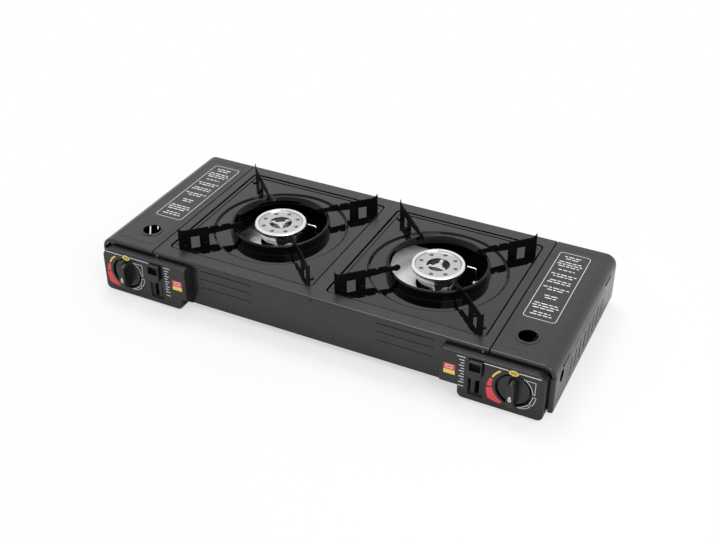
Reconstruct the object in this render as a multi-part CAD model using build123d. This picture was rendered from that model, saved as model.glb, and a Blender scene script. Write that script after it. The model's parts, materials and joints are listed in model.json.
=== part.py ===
"""Two-burner camping stove with a cartridge bay under a hinged lid at each end.

Millimetres, +Z up, front towards -Y. The origin is on the surface that the stove stands on, under the
middle of the box round casing and knobs. Sub-parts are drawn about the middle of the casing and moved back
by BODY_Y when saved.
"""
from build123d import *
import os
from math import cos, radians, sin, sqrt

# Casing
WIDTH = 668.0
DEPTH = 275.0
HEIGHT = 80.0
GROUND_GAP = 10.0
SHEET = 0.8
EDGE_R = 3.0
WALL_CLEARANCE = 0.2
TOP_LIP = 6.5
WALL_END_GAP = 13.0
FLOOR_TAB_GAP = 5.0
FLOOR_TAB_INSET = 6.5

# Seam, hinge and pressed line of the lids
LID_WIDTH = 86.0
SEAM_GAP = 1.8
LID_REST_GAP = 0.3
LEDGE_REACH = 8.0
LID_LIP = 5.0
END_R = 16.0
HINGE_GAP = 0.5
KNUCKLES = 3
KNUCKLE_R = 1.6
KNUCKLE_LENGTH = 8.0
KNUCKLE_GAP = 0.4
HINGE_PIN_R = 0.8
HINGE_PIN_PLAY = 0.05
HINGE_END_GAP = 42.5
SIGHT_SEAM_GAP = 33.5
SIGHT_FRONT_GAP = 47.0
SIGHT_R = 12.6
SIGHT_RIM_R = 16.2
SIGHT_RIM_H = 1.0
LID_LINE_INSET = 7.0
LID_LINE_END_INSET = 15.0
LID_LINE_WIDTH = 1.2
LID_LINE_R = 6.0
LID_LINE_DEPTH = 0.3

# End walls
FRONT_RETURN = 7.0
BACK_RETURN = 16.0
SLOT_COUNT = 8
SLOT_END_SHARE = 0.6
SLOT_LENGTH = 27.0
SLOT_WIDTH = 4.0
SLOT_SLANT = 12.0
SLOT_RISE = 26.0
VENT_BAND_INSET = 51.5
VENT_BAND_HEIGHT = 48.0
VENT_BAND_R = 12.0
VENT_BAND_LINE = 1.4
VENT_BAND_DEPTH = 0.3
END_HOLE_FRONT_GAP = 26.5
END_HOLE_DROP = 28.0
END_HOLE_R = 8.5

# Front wall ribs
RIB_LENGTH = 80.0
RIB_PANEL_GAP = 15.5
RIB_HEIGHT = 5.0
RIB_PROUD = 1.0
RIB_DROPS = (14.0, 27.0, 41.0)

# Wells of the top plate
WELL_GAP = 20.0
WELL_SEAM_GAP = 13.0
WELL_MARGIN = 21.5
WELL_SINK = 3.0
WELL_CORNER_R = 7.0
WELL_EDGE_R = 0.6
WELL_HOLE_SHARE = 0.88

# Drip trays
TRAY_GAP = 2.2
TRAY_SHEET = 0.8
TRAY_RIM_WIDTH = 4.0
TRAY_RIM_RISE = 1.0
TRAY_STEP_INSET = 3.0
TRAY_STEP_DROP = 2.4
RING_FOOT_SHARE = 0.712
RING_LEAN = 0.8
RING_RISE = 13.8
RING_LAND = 2.6
SKIRT_HEIGHT = 4.6
SKIRT_INSET = 5.1
TRAY_BEND_R = 1.3

# Pan arms
ARM_SHEET = 1.2
ARM_CORNER_GAP = 12.0
ARM_TIP_REACH = 9.6
ARM_STEP_GAP = 5.0
ARM_TOP_H = 21.8
ARM_HORN_H = 27.5
ARM_HORN_RUN = 13.0
ARM_BAR_H = 19.0
ARM_RING_GAP = 0.4
ARM_BAR_FALL = 2.6
ARM_FOOT_SHARE = 0.315
ARM_WINDOW_SHARE = 0.29
ARM_BULB_R = 4.8
ARM_WINDOW_H = 9.5
ARM_TEETH = 3
ARM_TOOTH_H = 2.4
ARM_TOOTH_GAP = 3.4
ARM_CORNER_R = 0.8
FOOT_TAB_LENGTH = 8.0
FOOT_TAB_WIDTH = 7.0
FOOT_TAB_SHEET = 1.0
RIVET_R = 1.5
RIVET_HEAD_R = 2.6
RIVET_HEAD_H = 0.9

# Burners
CAP_SHARE = 0.5745
CAP_RISE = 1.5
CAP_HEIGHT = 5.5
CAP_FACE_DROP = 1.8
CAP_RIM_WIDTH = 5.0
CAP_BEVEL = 1.2
CAP_HOLE_SHARE = 0.431
CAP_DIMPLES = 8
CAP_DIMPLE_SHARE = 0.674
CAP_DIMPLE_R = 2.7
CAP_DIMPLE_DEPTH = 1.5
CAP_PORTS = 44
CAP_PORT_WIDTH = 1.7
CAP_PORT_H = 1.6
SPIDER_ARMS = 3
SPIDER_ARM_WIDTH = 4.8
SPIDER_HUB_R = 5.5
SPIDER_SHEET = 1.8
SPIDER_SCREW_SHARE = 0.6875
LEFT_SPIDER_TURN = 65.0
RIGHT_SPIDER_TURN = 90.0
CAP_SCREW_R = 1.2
CAP_SCREW_LENGTH = 5.0
CAP_SCREW_HEAD_R = 2.4
CAP_SCREW_HEAD_H = 1.4
CUP_RIM_INSET = 3.1
CUP_RIM_H = 2.5
CUP_WAIST_INSET = 7.6
CUP_WAIST_DROP = 13.0
CUP_FOOT_INSET = 13.1
CUP_FOOT_DROP = 23.0
CUP_WALL = 3.5
CUP_AXIS_DROP = 16.0
MIXING_R = 10.0
MIXING_BORE_R = 8.0
MIXING_GAP = 31.0
MIXING_PLATE = 2.0
AIR_PORTS = 4
AIR_PORT_R = 1.3
AIR_PORT_RING_R = 6.0
BRACKET_SHEET = 1.2
BRACKET_HALF_WIDTH = 26.0
BRACKET_HALF_DEPTH = 16.0
BRACKET_FOOT = 10.0
SHIELD_RISE = 14.0
SHIELD_SIDE_GAP = 3.0
SHIELD_INNER_X = 4.0
SHIELD_FRONT_SHARE = 0.707
SHIELD_BACK_SHARE = 0.737
SHIELD_SIDE_SHARE = 0.525
SHIELD_HOLE_GAP = 6.0

# Ignition
ELECTRODE_GAP = 12.9
ELECTRODE_Y = 14.0
ELECTRODE_R = 1.1
ELECTRODE_BEND_R = 3.0
ELECTRODE_RISE = 2.7
SPARK_GAP = 2.4
INSULATOR_R = 4.0
INSULATOR_DROP = 18.0
TERMINAL_R = 1.9
TERMINAL_LENGTH = 8.0
TERMINAL_RISE = 5.0
PIEZO_R = 7.0
PIEZO_LENGTH = 24.0
PIEZO_GAP = 0.2
PIEZO_TERMINAL_GAP = 6.0
LEAD_R = 1.2
LEAD_BEND_R = 7.0
LEAD_DROP_GAP = 21.0
LEAD_SIDE = 65.0
LEAD_CROSS = 30.0
LEAD_FRONT_GAP = 54.0
LEAD_LOW_GAP = 5.4
LEAD_END_RUN = 26.0

# Gas path behind each control panel
AXIS_END_GAP = 48.0
AXIS_SHARE = 0.5
VALVE_R = 13.0
VALVE_SETBACK = 3.3
VALVE_LENGTH = 25.0
FLANGE_SHEET = 2.0
FLANGE_FLOOR_GAP = 3.4
NOZZLE_R = 10.0
NOZZLE_LENGTH = 7.0
INLET_R = 6.05
INLET_LENGTH = 9.0
HOUSING_R = 13.0
HOUSING_START = 11.0
HOUSING_END = 25.0
HOUSING_SETBACK = 11.0
HOUSING_RISE = 6.0
LUG_HALF_WIDTH = 8.0
LUG_FRONT_GAP = 3.0
LUG_BACK_GAP = 4.0
GAS_SETBACK = 12.0
OUTLET_R = 6.0
OUTLET_REACH = 20.0
OUTLET_SOCKET = 4.0
GAS_TUBE_R = 3.0
GAS_BEND_R = 14.0
INJECTOR_R = 4.0
INJECTOR_LENGTH = 14.0
INJECTOR_DEPTH = 4.0
FIT_PLAY = 0.05

# Cartridge bay
BAY_WALL_GAP = 22.0
BAY_WALL_END_GAP = 2.5
BAY_FLANGE = 9.0
TUBE_HOLE_R = 5.0
LEAD_HOLE_R = 3.0
CARTRIDGE_R = 33.5
CRADLE_PLAY = 0.5
CRADLE_FRONT_GAP = 19.0
CRADLE_BACK_GAP = 22.3
CRADLE_FLANGE = 10.0
CRADLE_GAP = 0.5
LATCH_SHEET = 1.5
LATCH_HALF_WIDTH = 22.0
LATCH_DROP = 18.0
LATCH_RISE = 16.0
LATCH_MOUTH_R = 13.0
LATCH_GAP = 1.0
LATCH_ROD_R = 2.0
LATCH_ROD_SIDE_SHARE = 0.68
LATCH_ROD_DROP_SHARE = 0.48
LATCH_ROD_LENGTH = 18.0
LATCH_ROD_PLAY = 0.3

# Control panels
PANEL_WIDTH = 137.0
PANEL_END_GAP = 8.5
RIGHT_SKIRT_INSET = 24.5
LEFT_SKIRT_INSET = 8.5
PANEL_DROP = 7.7
PANEL_BOTTOM_Z = 4.0
PANEL_STAND_OUT = 15.7
PANEL_WALL = 2.2
PANEL_CORNER_R = 8.0
PANEL_INNER_TOP_R = 4.0
PANEL_OUTER_TOP_R = 14.0
PANEL_EDGE_R = 2.0
PANEL_UNDER_RISE = 12.7
VALVE_WINDOW_INNER = 32.0
VALVE_WINDOW_OUTER = 28.0
VALVE_WINDOW_FLOOR_GAP = 6.4
VALVE_WINDOW_TOP_GAP = 12.0
BOSS_R = 3.5
BOSS_INNER_INSET = 17.5
BOSS_OUTER_INSET = 8.0
BOSS_DROP = 10.0
BOSS_RISE = 18.0
PANEL_SCREW_R = 1.5
PANEL_SCREW_HEAD_R = 3.0
PANEL_SCREW_HEAD_H = 1.5
PANEL_SCREW_BITE = 5.0

# Knobs
KNOB_R = 20.9
KNOB_WELL_GAP = 2.8
KNOB_WELL_DEPTH = 6.0
KNOB_GAP = 0.6
KNOB_DISC = 4.4
KNOB_GRIP_H = 14.1
KNOB_GRIP_WIDTH = 14.0
KNOB_GRIP_INSET = 1.5
KNOB_GRIP_TAPER = 8.0
KNOB_EDGE_R = 1.2
KNOB_SOCKET = 4.5
STEM_R = 3.0
STEM_HOLE_PLAY = 0.6
STEM_DEPTH = 12.0

# Lock levers
LEVER_AXIS_GAP = 49.0
LEVER_WIDTH = 18.0
LEVER_DROP = 3.3
LEVER_HEIGHT = 27.0
LEVER_PROUD = 6.0
LEVER_PLAY = 1.0
LEVER_RUN_GAP = 0.3
LEVER_EDGE_R = 1.2
LEVER_TOP_R = 1.6
LEVER_POCKET_DEPTH = 7.0
LEVER_POCKET_HEIGHT = 12.0
LEVER_POCKET_RIM = 1.5
LEVER_STEM_WIDTH = 5.0
LEVER_STEM_OFFSET = 1.6
LEVER_STEM_RISE = 2.0
LEVER_STEM_HEIGHT = 10.0
LEVER_SLOT_PLAY = 0.5
LEVER_PLATE = 1.5
LEVER_PLATE_OVERLAP = 3.0
RECESS_DEPTH = 2.5
RECESS_PAD = 11.0
RECESS_RISE = 9.0
GUIDE_WIDTH = 2.5
GUIDE_INSET = 0.5

# Feet and casing screws
FOOT_R = 9.0
FOOT_SEAM_GAP = 8.0
FOOT_END_GAP = 32.5
FOOT_EDGE_R = 1.5
CASING_SCREW_SEAM_GAP = 8.0
CASING_SCREW_DROP = 4.8
CASING_SCREW_R = 1.2
CASING_SCREW_HEAD_R = 1.7
CASING_SCREW_HEAD_H = 0.9
CASING_SCREW_LENGTH = 5.0

# Worked out from the dimensions above
HALF_W = WIDTH / 2
HALF_D = DEPTH / 2
UNDER_TOP = HEIGHT - SHEET
FLOOR_Z = GROUND_GAP + SHEET
FLOOR_TOP = FLOOR_Z + SHEET
WALL_Y = HALF_D - EDGE_R - WALL_CLEARANCE
WALL_X = HALF_W - WALL_END_GAP
SEAM_X = HALF_W - LID_WIDTH
HINGE_X = HALF_W - SHEET / 2
HINGE_Y = HALF_D - HINGE_END_GAP
HINGE_Z = HEIGHT - END_R
SIGHT_X = SEAM_X + SIGHT_SEAM_GAP
SIGHT_Y = -HALF_D + SIGHT_FRONT_GAP
LEDGE_TOP = UNDER_TOP - LID_REST_GAP
VENT_BAND_LENGTH = DEPTH - 2 * VENT_BAND_INSET
SLOT_PITCH = VENT_BAND_LENGTH / (SLOT_COUNT + SLOT_END_SHARE)
SLOT_Z = GROUND_GAP + SLOT_RISE
END_HOLE_Y = -HALF_D + END_HOLE_FRONT_GAP
END_HOLE_Z = HEIGHT - END_HOLE_DROP
WELL_WIDTH = SEAM_X - WELL_GAP / 2 - WELL_SEAM_GAP
WELL_DEPTH = DEPTH - 2 * WELL_MARGIN
WELL_HALF = min(WELL_WIDTH, WELL_DEPTH) / 2
WELL_HOLE_R = WELL_HOLE_SHARE * WELL_HALF
BURNER_X = (WELL_GAP + WELL_WIDTH) / 2
WELL_FLOOR_TOP = HEIGHT - WELL_SINK
WELL_FLOOR_UNDER = WELL_FLOOR_TOP - SHEET
TRAY_TOP = WELL_FLOOR_TOP + TRAY_SHEET
TRAY_STEP_R = WELL_HOLE_R - TRAY_STEP_INSET
RING_FOOT_R = RING_FOOT_SHARE * WELL_HOLE_R
RING_TOP_R = RING_FOOT_R - RING_LEAN
RING_TOP = TRAY_TOP - TRAY_STEP_DROP + RING_RISE
SKIRT_R = RING_TOP_R - SKIRT_INSET
ARM_OUT_R = WELL_HALF * sqrt(2) - ARM_CORNER_GAP
ARM_TIP_R = SKIRT_R - ARM_TIP_REACH
ARM_STEP_R = WELL_HOLE_R + ARM_STEP_GAP
ARM_FOOT_R = ARM_STEP_R + ARM_FOOT_SHARE * (ARM_OUT_R - ARM_STEP_R)
ARM_WINDOW_WIDTH = ARM_WINDOW_SHARE * (ARM_OUT_R - ARM_STEP_R)
ARM_BAR_UNDER = RING_TOP + ARM_RING_GAP
CAP_R = CAP_SHARE * SKIRT_R
CAP_BASE_Z = HEIGHT + CAP_RISE
CAP_TOP_Z = CAP_BASE_Z + CAP_HEIGHT
CAP_FACE_Z = CAP_TOP_Z - CAP_FACE_DROP
CAP_HOLE_R = CAP_HOLE_SHARE * CAP_R
CAP_DIMPLE_RING_R = CAP_DIMPLE_SHARE * CAP_R
SPIDER_SCREW_RING_R = SPIDER_SCREW_SHARE * CAP_HOLE_R
SPIDER_TOP = CAP_BASE_Z + SPIDER_SHEET
CUP_RIM_R = CAP_R - CUP_RIM_INSET
CUP_WAIST_R = CAP_R - CUP_WAIST_INSET
CUP_WAIST_Z = HEIGHT - CUP_WAIST_DROP
CUP_FOOT_R = CAP_R - CUP_FOOT_INSET
CUP_FOOT_Z = HEIGHT - CUP_FOOT_DROP
AXIS_X = HALF_W - AXIS_END_GAP
AXIS_Z = AXIS_SHARE * HEIGHT
AXIS_RISE = AXIS_Z - FLOOR_TOP
CUP_BOTTOM_Z = AXIS_Z - CUP_AXIS_DROP
ELECTRODE_X = CAP_R + ELECTRODE_GAP
ELECTRODE_Z = CAP_BASE_Z + ELECTRODE_RISE
INSULATOR_TOP_Z = HEIGHT - INSULATOR_DROP
TERMINAL_Z = CUP_BOTTOM_Z + TERMINAL_RISE
VALVE_FRONT_Y = -WALL_Y + VALVE_SETBACK
FLANGE_Y = VALVE_FRONT_Y + VALVE_LENGTH
FLANGE_R = AXIS_RISE - FLANGE_FLOOR_GAP
HOUSING_Y = VALVE_FRONT_Y + HOUSING_SETBACK
LUG_FRONT_Y = VALVE_FRONT_Y + LUG_FRONT_GAP
LUG_BACK_Y = FLANGE_Y - LUG_BACK_GAP
GAS_Y = VALVE_FRONT_Y + GAS_SETBACK
GAS_SOCKET_X = AXIS_X - OUTLET_REACH + OUTLET_SOCKET
MIXING_REACH = -GAS_Y - MIXING_GAP
PIEZO_Z = AXIS_Z + VALVE_R + PIEZO_R + PIEZO_GAP
PIEZO_TERMINAL_Y = VALVE_FRONT_Y + PIEZO_TERMINAL_GAP
NOZZLE_END_Y = FLANGE_Y + FLANGE_SHEET + NOZZLE_LENGTH
LATCH_Y = NOZZLE_END_Y + LATCH_GAP
LATCH_BOTTOM_Z = AXIS_Z - LATCH_DROP
LATCH_TOP_Z = AXIS_Z + LATCH_RISE
BAY_WALL_X = SEAM_X - BAY_WALL_GAP
LEAD_DROP_X = BAY_WALL_X - LEAD_DROP_GAP
LEAD_FRONT_Y = GAS_Y + LEAD_FRONT_GAP
SHIELD_Z = AXIS_Z + SHIELD_RISE
SHIELD_SIDE_X = BAY_WALL_X - BURNER_X - SHIELD_SIDE_GAP
SHIELD_FRONT_Y = -SHIELD_FRONT_SHARE * WELL_HOLE_R
SHIELD_BACK_Y = SHIELD_BACK_SHARE * WELL_HOLE_R
SHIELD_SIDE_HALF_Y = SHIELD_SIDE_SHARE * WELL_HOLE_R
SHIELD_HOLE_R = CUP_FOOT_R + SHIELD_HOLE_GAP
CRADLE_R = CARTRIDGE_R + CRADLE_PLAY
CRADLE_MOUTH = sqrt((CRADLE_R + SHEET) ** 2 - AXIS_RISE ** 2)
CRADLE_FRONT_Y = NOZZLE_END_Y + CRADLE_FRONT_GAP
CRADLE_BACK_Y = WALL_Y - CRADLE_BACK_GAP
PANEL_OUTER_X = HALF_W - PANEL_END_GAP
PANEL_INNER_X = PANEL_OUTER_X - PANEL_WIDTH
PANEL_TOP_Z = HEIGHT - PANEL_DROP
PANEL_FRONT_Y = -WALL_Y - PANEL_STAND_OUT
PANEL_BACK_OF_FACE_Y = PANEL_FRONT_Y + PANEL_WALL
RIB_END = PANEL_INNER_X - RIB_PANEL_GAP
RECESS_Y = PANEL_FRONT_Y + RECESS_DEPTH
PAD_Y = PANEL_FRONT_Y + RECESS_PAD
LEVER_X = AXIS_X - LEVER_AXIS_GAP
LEVER_TOP_Z = PANEL_TOP_Z - LEVER_DROP
LEVER_BOTTOM_Z = LEVER_TOP_Z - LEVER_HEIGHT
LEVER_STEM_X = LEVER_X + LEVER_STEM_OFFSET
LEVER_STEM_BOTTOM_Z = LEVER_BOTTOM_Z + LEVER_STEM_RISE
LEVER_STEM_TOP_Z = LEVER_STEM_BOTTOM_Z + LEVER_STEM_HEIGHT
RECESS_BOTTOM_Z = PANEL_BOTTOM_Z + RECESS_RISE
LEVER_TRAVEL = LEVER_BOTTOM_Z - LEVER_PLAY - RECESS_BOTTOM_Z
KNOB_WELL_Y = PANEL_FRONT_Y + KNOB_WELL_DEPTH
KNOB_WELL_R = KNOB_R + KNOB_WELL_GAP
KNOB_BACK_Y = KNOB_WELL_Y - KNOB_GAP
KNOB_FACE_Y = KNOB_BACK_Y - KNOB_DISC
KNOB_FRONT_Y = KNOB_FACE_Y - KNOB_GRIP_H
STEM_FRONT_Y = KNOB_BACK_Y - KNOB_SOCKET
STEM_BACK_Y = VALVE_FRONT_Y + STEM_DEPTH
FOOT_X = SEAM_X - FOOT_SEAM_GAP
FOOT_Y = HALF_D - FOOT_END_GAP
CASING_SCREW_X = SEAM_X - CASING_SCREW_SEAM_GAP
CASING_SCREW_Z = HEIGHT - CASING_SCREW_DROP
BODY_Y = (-KNOB_FRONT_Y - HALF_D) / 2


# Shared shapes


def block(x0, x1, y0, y1, z0, z1):
    """A box between two corners."""
    middle = Pos((x0 + x1) / 2, (y0 + y1) / 2, (z0 + z1) / 2)
    return middle * Box(x1 - x0, y1 - y0, z1 - z0)


def post(x, y, z0, z1, radius):
    """A round bar along Z."""
    return Pos(x, y, (z0 + z1) / 2) * Cylinder(radius, z1 - z0)


def bar_y(x, z, y0, y1, radius):
    """A round bar along Y."""
    return Pos(x, (y0 + y1) / 2, z) * Rot(90, 0, 0) * Cylinder(radius, y1 - y0)


def bar_x(y, z, x0, x1, radius):
    """A round bar along X."""
    return Pos((x0 + x1) / 2, y, z) * Rot(0, 90, 0) * Cylinder(radius, x1 - x0)


def prism_y(face, y0, y1):
    """A face drawn in X and Z, drawn out from y0 to y1."""
    return Pos(0, y1, 0) * extrude(Plane.XZ * face, y1 - y0)


def prism_x(face, x0, x1):
    """A face drawn in Y and Z, drawn out from x0 to x1."""
    return Pos(x0, 0, 0) * extrude(Plane.YZ * face, x1 - x0)


def prism_z(face, z0, z1):
    """A face drawn in X and Y, drawn out from z0 to z1."""
    return Pos(0, 0, z0) * extrude(face, z1 - z0)


def folded(points, bend_r, thickness, side):
    """The section of a folded sheet along a line of points."""
    line = FilletPolyline(*points, radius=bend_r)
    return make_face(offset(line, amount=thickness, side=side, closed=True))


def other_side(shape):
    """The same piece on the other half of the stove."""
    return mirror(shape, about=Plane.YZ)


def tube(points, bend_r, radius):
    """A round rod or tube along straight runs joined by arcs."""
    path = FilletPolyline(*points, radius=bend_r)
    start = Plane(origin=path @ 0, z_dir=path % 0)
    return sweep(start * Circle(radius), path=path)


def corners(face, spots, radius):
    """Round the corners of a flat face that lie nearest to the spots."""
    chosen = [face.vertices().sort_by_distance((*spot, 0))[0] for spot in spots]
    return fillet(chosen, radius)


# Casing


def floor_plate():
    """The floor of the base pan, with a tab at each end that lies on the end wall's flange."""
    tab_x = HALF_W - FLOOR_TAB_GAP
    tab_y = WALL_Y - FLOOR_TAB_INSET
    plate = block(-WALL_X, WALL_X, -WALL_Y, WALL_Y, FLOOR_Z, FLOOR_TOP)
    plate += block(-tab_x, tab_x, -tab_y, tab_y, FLOOR_Z, FLOOR_TOP)
    half_gap = CRADLE_MOUTH + CRADLE_GAP
    y0 = CRADLE_FRONT_Y - CRADLE_GAP
    y1 = CRADLE_BACK_Y + CRADLE_GAP
    for side in (-1, 1):
        centre = side * AXIS_X
        plate -= block(centre - half_gap, centre + half_gap, y0, y1, FLOOR_Z - SHEET, FLOOR_TOP + SHEET)
    return plate


def upright_wall(y0, y1):
    """A front or back wall, full height between the lids and a little lower under them."""
    middle_x = SEAM_X - LEDGE_REACH
    wall = block(-WALL_X, WALL_X, y0, y1, FLOOR_Z, LEDGE_TOP)
    return wall + block(-middle_x, middle_x, y0, y1, FLOOR_Z, UNDER_TOP)


def front_rib(x, z):
    """A pressed rib on the front wall: what stands proud and the hollow behind it."""
    proud = prism_y(SlotOverall(RIB_LENGTH, RIB_HEIGHT), -WALL_Y - RIB_PROUD, -WALL_Y)
    proud = fillet(proud.edges().sort_by(Axis.Y)[:4], RIB_PROUD / 2)
    hollow_outline = SlotOverall(RIB_LENGTH - 2 * SHEET, RIB_HEIGHT - 2 * SHEET)
    hollow = prism_y(hollow_outline, -WALL_Y - RIB_PROUD + SHEET, -WALL_Y + SHEET)
    return Pos(x, 0, z) * proud, Pos(x, 0, z) * hollow


def casing_screw_places():
    """Middle of each screw on the rims: X and the side of the casing."""
    return [(x, side) for side in (-1, 1) for x in (-CASING_SCREW_X, 0, CASING_SCREW_X)]


def panel_screw_places():
    """X and Z of the screws of the right control panel."""
    across = (PANEL_INNER_X + BOSS_INNER_INSET, PANEL_OUTER_X - BOSS_OUTER_INSET)
    return [(x, z) for x in across for z in (AXIS_Z - BOSS_DROP, AXIS_Z + BOSS_RISE)]


def base_pan():
    pan = floor_plate()
    pan += upright_wall(-WALL_Y, -WALL_Y + SHEET)
    pan += upright_wall(WALL_Y - SHEET, WALL_Y)
    rib_x = RIB_END - RIB_LENGTH / 2
    window_z0, window_z1 = FLOOR_TOP + VALVE_WINDOW_FLOOR_GAP, HEIGHT - VALVE_WINDOW_TOP_GAP
    for side in (-1, 1):
        for drop in RIB_DROPS:
            proud, hollow = front_rib(side * rib_x, HEIGHT - drop)
            pan = pan + proud - hollow
        x0, x1 = sorted((side * (AXIS_X - VALVE_WINDOW_INNER), side * (AXIS_X + VALVE_WINDOW_OUTER)))
        pan -= block(x0, x1, -WALL_Y - SHEET, -WALL_Y + 2 * SHEET, window_z0, window_z1)
        for x, z in panel_screw_places():
            pan -= bar_y(side * x, z, -WALL_Y - SHEET, -WALL_Y + 2 * SHEET, PANEL_SCREW_R + FIT_PLAY)
    for x, side in casing_screw_places():
        y0, y1 = sorted((side * (WALL_Y - 2 * SHEET), side * (WALL_Y + SHEET)))
        pan -= bar_y(x, CASING_SCREW_Z, y0, y1, CASING_SCREW_R + FIT_PLAY)
    return pan


def rimmed_block(inset):
    """The outer or inner form of the top plate with its turned-down front and back rims."""
    half_x = SEAM_X - SEAM_GAP / 2
    half_y = HALF_D - inset
    body = block(-half_x, half_x, -half_y, half_y, HEIGHT - TOP_LIP, HEIGHT - inset)
    edges = body.edges().filter_by(Axis.X).group_by(Axis.Z)[-1]
    return fillet(edges, EDGE_R - inset)


def lid_ledge():
    """The joggled edge of the top plate that the right lid comes down on."""
    web_x = SEAM_X - SEAM_GAP / 2
    half_y = WALL_Y - 2 * SHEET
    web = block(web_x - SHEET, web_x, -half_y, half_y, LEDGE_TOP - SHEET, UNDER_TOP + SHEET / 2)
    return web + block(web_x - SHEET, SEAM_X + LEDGE_REACH, -half_y, half_y, LEDGE_TOP - SHEET, LEDGE_TOP)


def top_plate():
    plate = rimmed_block(0) - rimmed_block(SHEET)
    outer = RectangleRounded(WELL_WIDTH + 2 * SHEET, WELL_DEPTH + 2 * SHEET, WELL_CORNER_R + SHEET)
    inner = RectangleRounded(WELL_WIDTH, WELL_DEPTH, WELL_CORNER_R)
    for side in (-1, 1):
        place = Pos(side * BURNER_X, 0, 0)
        plate += place * prism_z(outer, WELL_FLOOR_UNDER, HEIGHT - SHEET / 2)
        plate -= place * prism_z(inner, WELL_FLOOR_TOP, HEIGHT + SHEET)
        plate -= post(side * BURNER_X, 0, WELL_FLOOR_UNDER - SHEET, HEIGHT, WELL_HOLE_R)
    flat_x = SEAM_X - EDGE_R
    flat_y = HALF_D - 2 * EDGE_R
    rims = plate.edges().filter_by_position(Axis.Z, HEIGHT, HEIGHT)
    rims = rims.filter_by_position(Axis.X, -flat_x, flat_x).filter_by_position(Axis.Y, -flat_y, flat_y)
    plate = fillet(rims, WELL_EDGE_R)
    plate = plate + lid_ledge() + other_side(lid_ledge())
    for x, side in casing_screw_places():
        y0, y1 = sorted((side * (HALF_D - 2 * SHEET), side * (HALF_D + SHEET)))
        plate -= bar_y(x, CASING_SCREW_Z, y0, y1, CASING_SCREW_R + FIT_PLAY)
    return plate


def end_form(inset):
    """The outer or inner form of the right end: a box with one big bend and softly bent edges."""
    x0 = SEAM_X + SEAM_GAP / 2
    half_y = HALF_D - inset
    form = block(x0, HALF_W - inset, -half_y, half_y, GROUND_GAP + inset, HEIGHT - inset)
    long_edges = form.edges().filter_by(Axis.Y).group_by(Axis.X)[-1]
    form = fillet(long_edges.sort_by(Axis.Z)[-1], END_R - inset)
    ends = [edge for edge in form.faces().filter_by(Axis.Y).edges() if edge.center().X > x0 + EDGE_R]
    low = form.edges().filter_by(Axis.Y).group_by(Axis.X)[-1].sort_by(Axis.Z)[0]
    return fillet(ends + [low], EDGE_R - inset)


def end_skin():
    """The pressed sheet of the right end, before it is parted into lid and end wall."""
    return end_form(0) - end_form(SHEET)


def knuckle_spans(count_from):
    """Y spans of the hinge knuckles, every other one: 0 for the end wall's, 1 for the lid's."""
    spans = []
    for hinge_y in (-HINGE_Y, HINGE_Y):
        for step in range(count_from, KNUCKLES, 2):
            y0 = hinge_y + (step - KNUCKLES / 2) * KNUCKLE_LENGTH
            spans.append((y0 + KNUCKLE_GAP / 2, y0 + KNUCKLE_LENGTH - KNUCKLE_GAP / 2))
    return spans


def with_knuckles(sheet, own, others, toward):
    """Give a sheet its knuckles above (1) or below (-1) the hinge line, and room for the other piece's."""
    for y0, y1 in others:
        room = KNUCKLE_R + KNUCKLE_GAP
        sheet -= bar_y(HINGE_X, HINGE_Z, y0 - KNUCKLE_GAP, y1 + KNUCKLE_GAP, room)
    for y0, y1 in own:
        z0, z1 = sorted((HINGE_Z, HINGE_Z + toward * (HINGE_GAP + KNUCKLE_R)))
        sheet += bar_y(HINGE_X, HINGE_Z, y0, y1, KNUCKLE_R)
        sheet += block(HALF_W - SHEET, HALF_W, y0, y1, z0, z1)
        sheet -= bar_y(HINGE_X, HINGE_Z, y0 - KNUCKLE_GAP, y1 + KNUCKLE_GAP, HINGE_PIN_R + HINGE_PIN_PLAY)
    return sheet


def lid_line():
    """The faint pressed line round the flat of the right lid."""
    x0, x1 = SEAM_X + LID_LINE_INSET, HALF_W - END_R
    length = DEPTH - 2 * LID_LINE_END_INSET
    outer = RectangleRounded(x1 - x0, length, LID_LINE_R)
    rise = 2 * LID_LINE_WIDTH
    inner = RectangleRounded(x1 - x0 - rise, length - rise, LID_LINE_R - LID_LINE_WIDTH)
    return Pos((x0 + x1) / 2, 0, 0) * prism_z(outer - inner, HEIGHT - LID_LINE_DEPTH, HEIGHT + SHEET)


def lid():
    """Right lid: top with a pressed line, big bend and narrow front and back rims."""
    skin = end_skin()
    far = 2 * HEIGHT
    skin -= block(0, WIDTH, -DEPTH, DEPTH, -far, HINGE_Z + HINGE_GAP)
    x0 = SEAM_X - LEDGE_REACH
    core = block(x0, HALF_W - LID_LIP, -DEPTH, DEPTH, GROUND_GAP, HEIGHT - LID_LIP)
    edge = core.edges().filter_by(Axis.Y).group_by(Axis.X)[-1].sort_by(Axis.Z)[-1]
    skin -= fillet(edge, END_R - LID_LIP)
    skin -= lid_line()
    skin += post(SIGHT_X, SIGHT_Y, HEIGHT - SHEET, HEIGHT + SIGHT_RIM_H, SIGHT_RIM_R)
    skin -= post(SIGHT_X, SIGHT_Y, HEIGHT - 2 * SHEET, HEIGHT + 2 * SIGHT_RIM_H, SIGHT_R)
    rim = skin.edges().filter_by(GeomType.CIRCLE).group_by(Axis.Z)[-1]
    skin = fillet(rim, SIGHT_RIM_H / 2)
    return with_knuckles(skin, knuckle_spans(1), knuckle_spans(0), 1)


def vent_slot(y):
    """One slanted cooling slot through the right end wall."""
    outline = Pos(y, SLOT_Z) * Rot(0, 0, 90 - SLOT_SLANT) * SlotOverall(SLOT_LENGTH, SLOT_WIDTH)
    return prism_x(outline, HALF_W - 2 * SHEET, HALF_W + SHEET)


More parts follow.
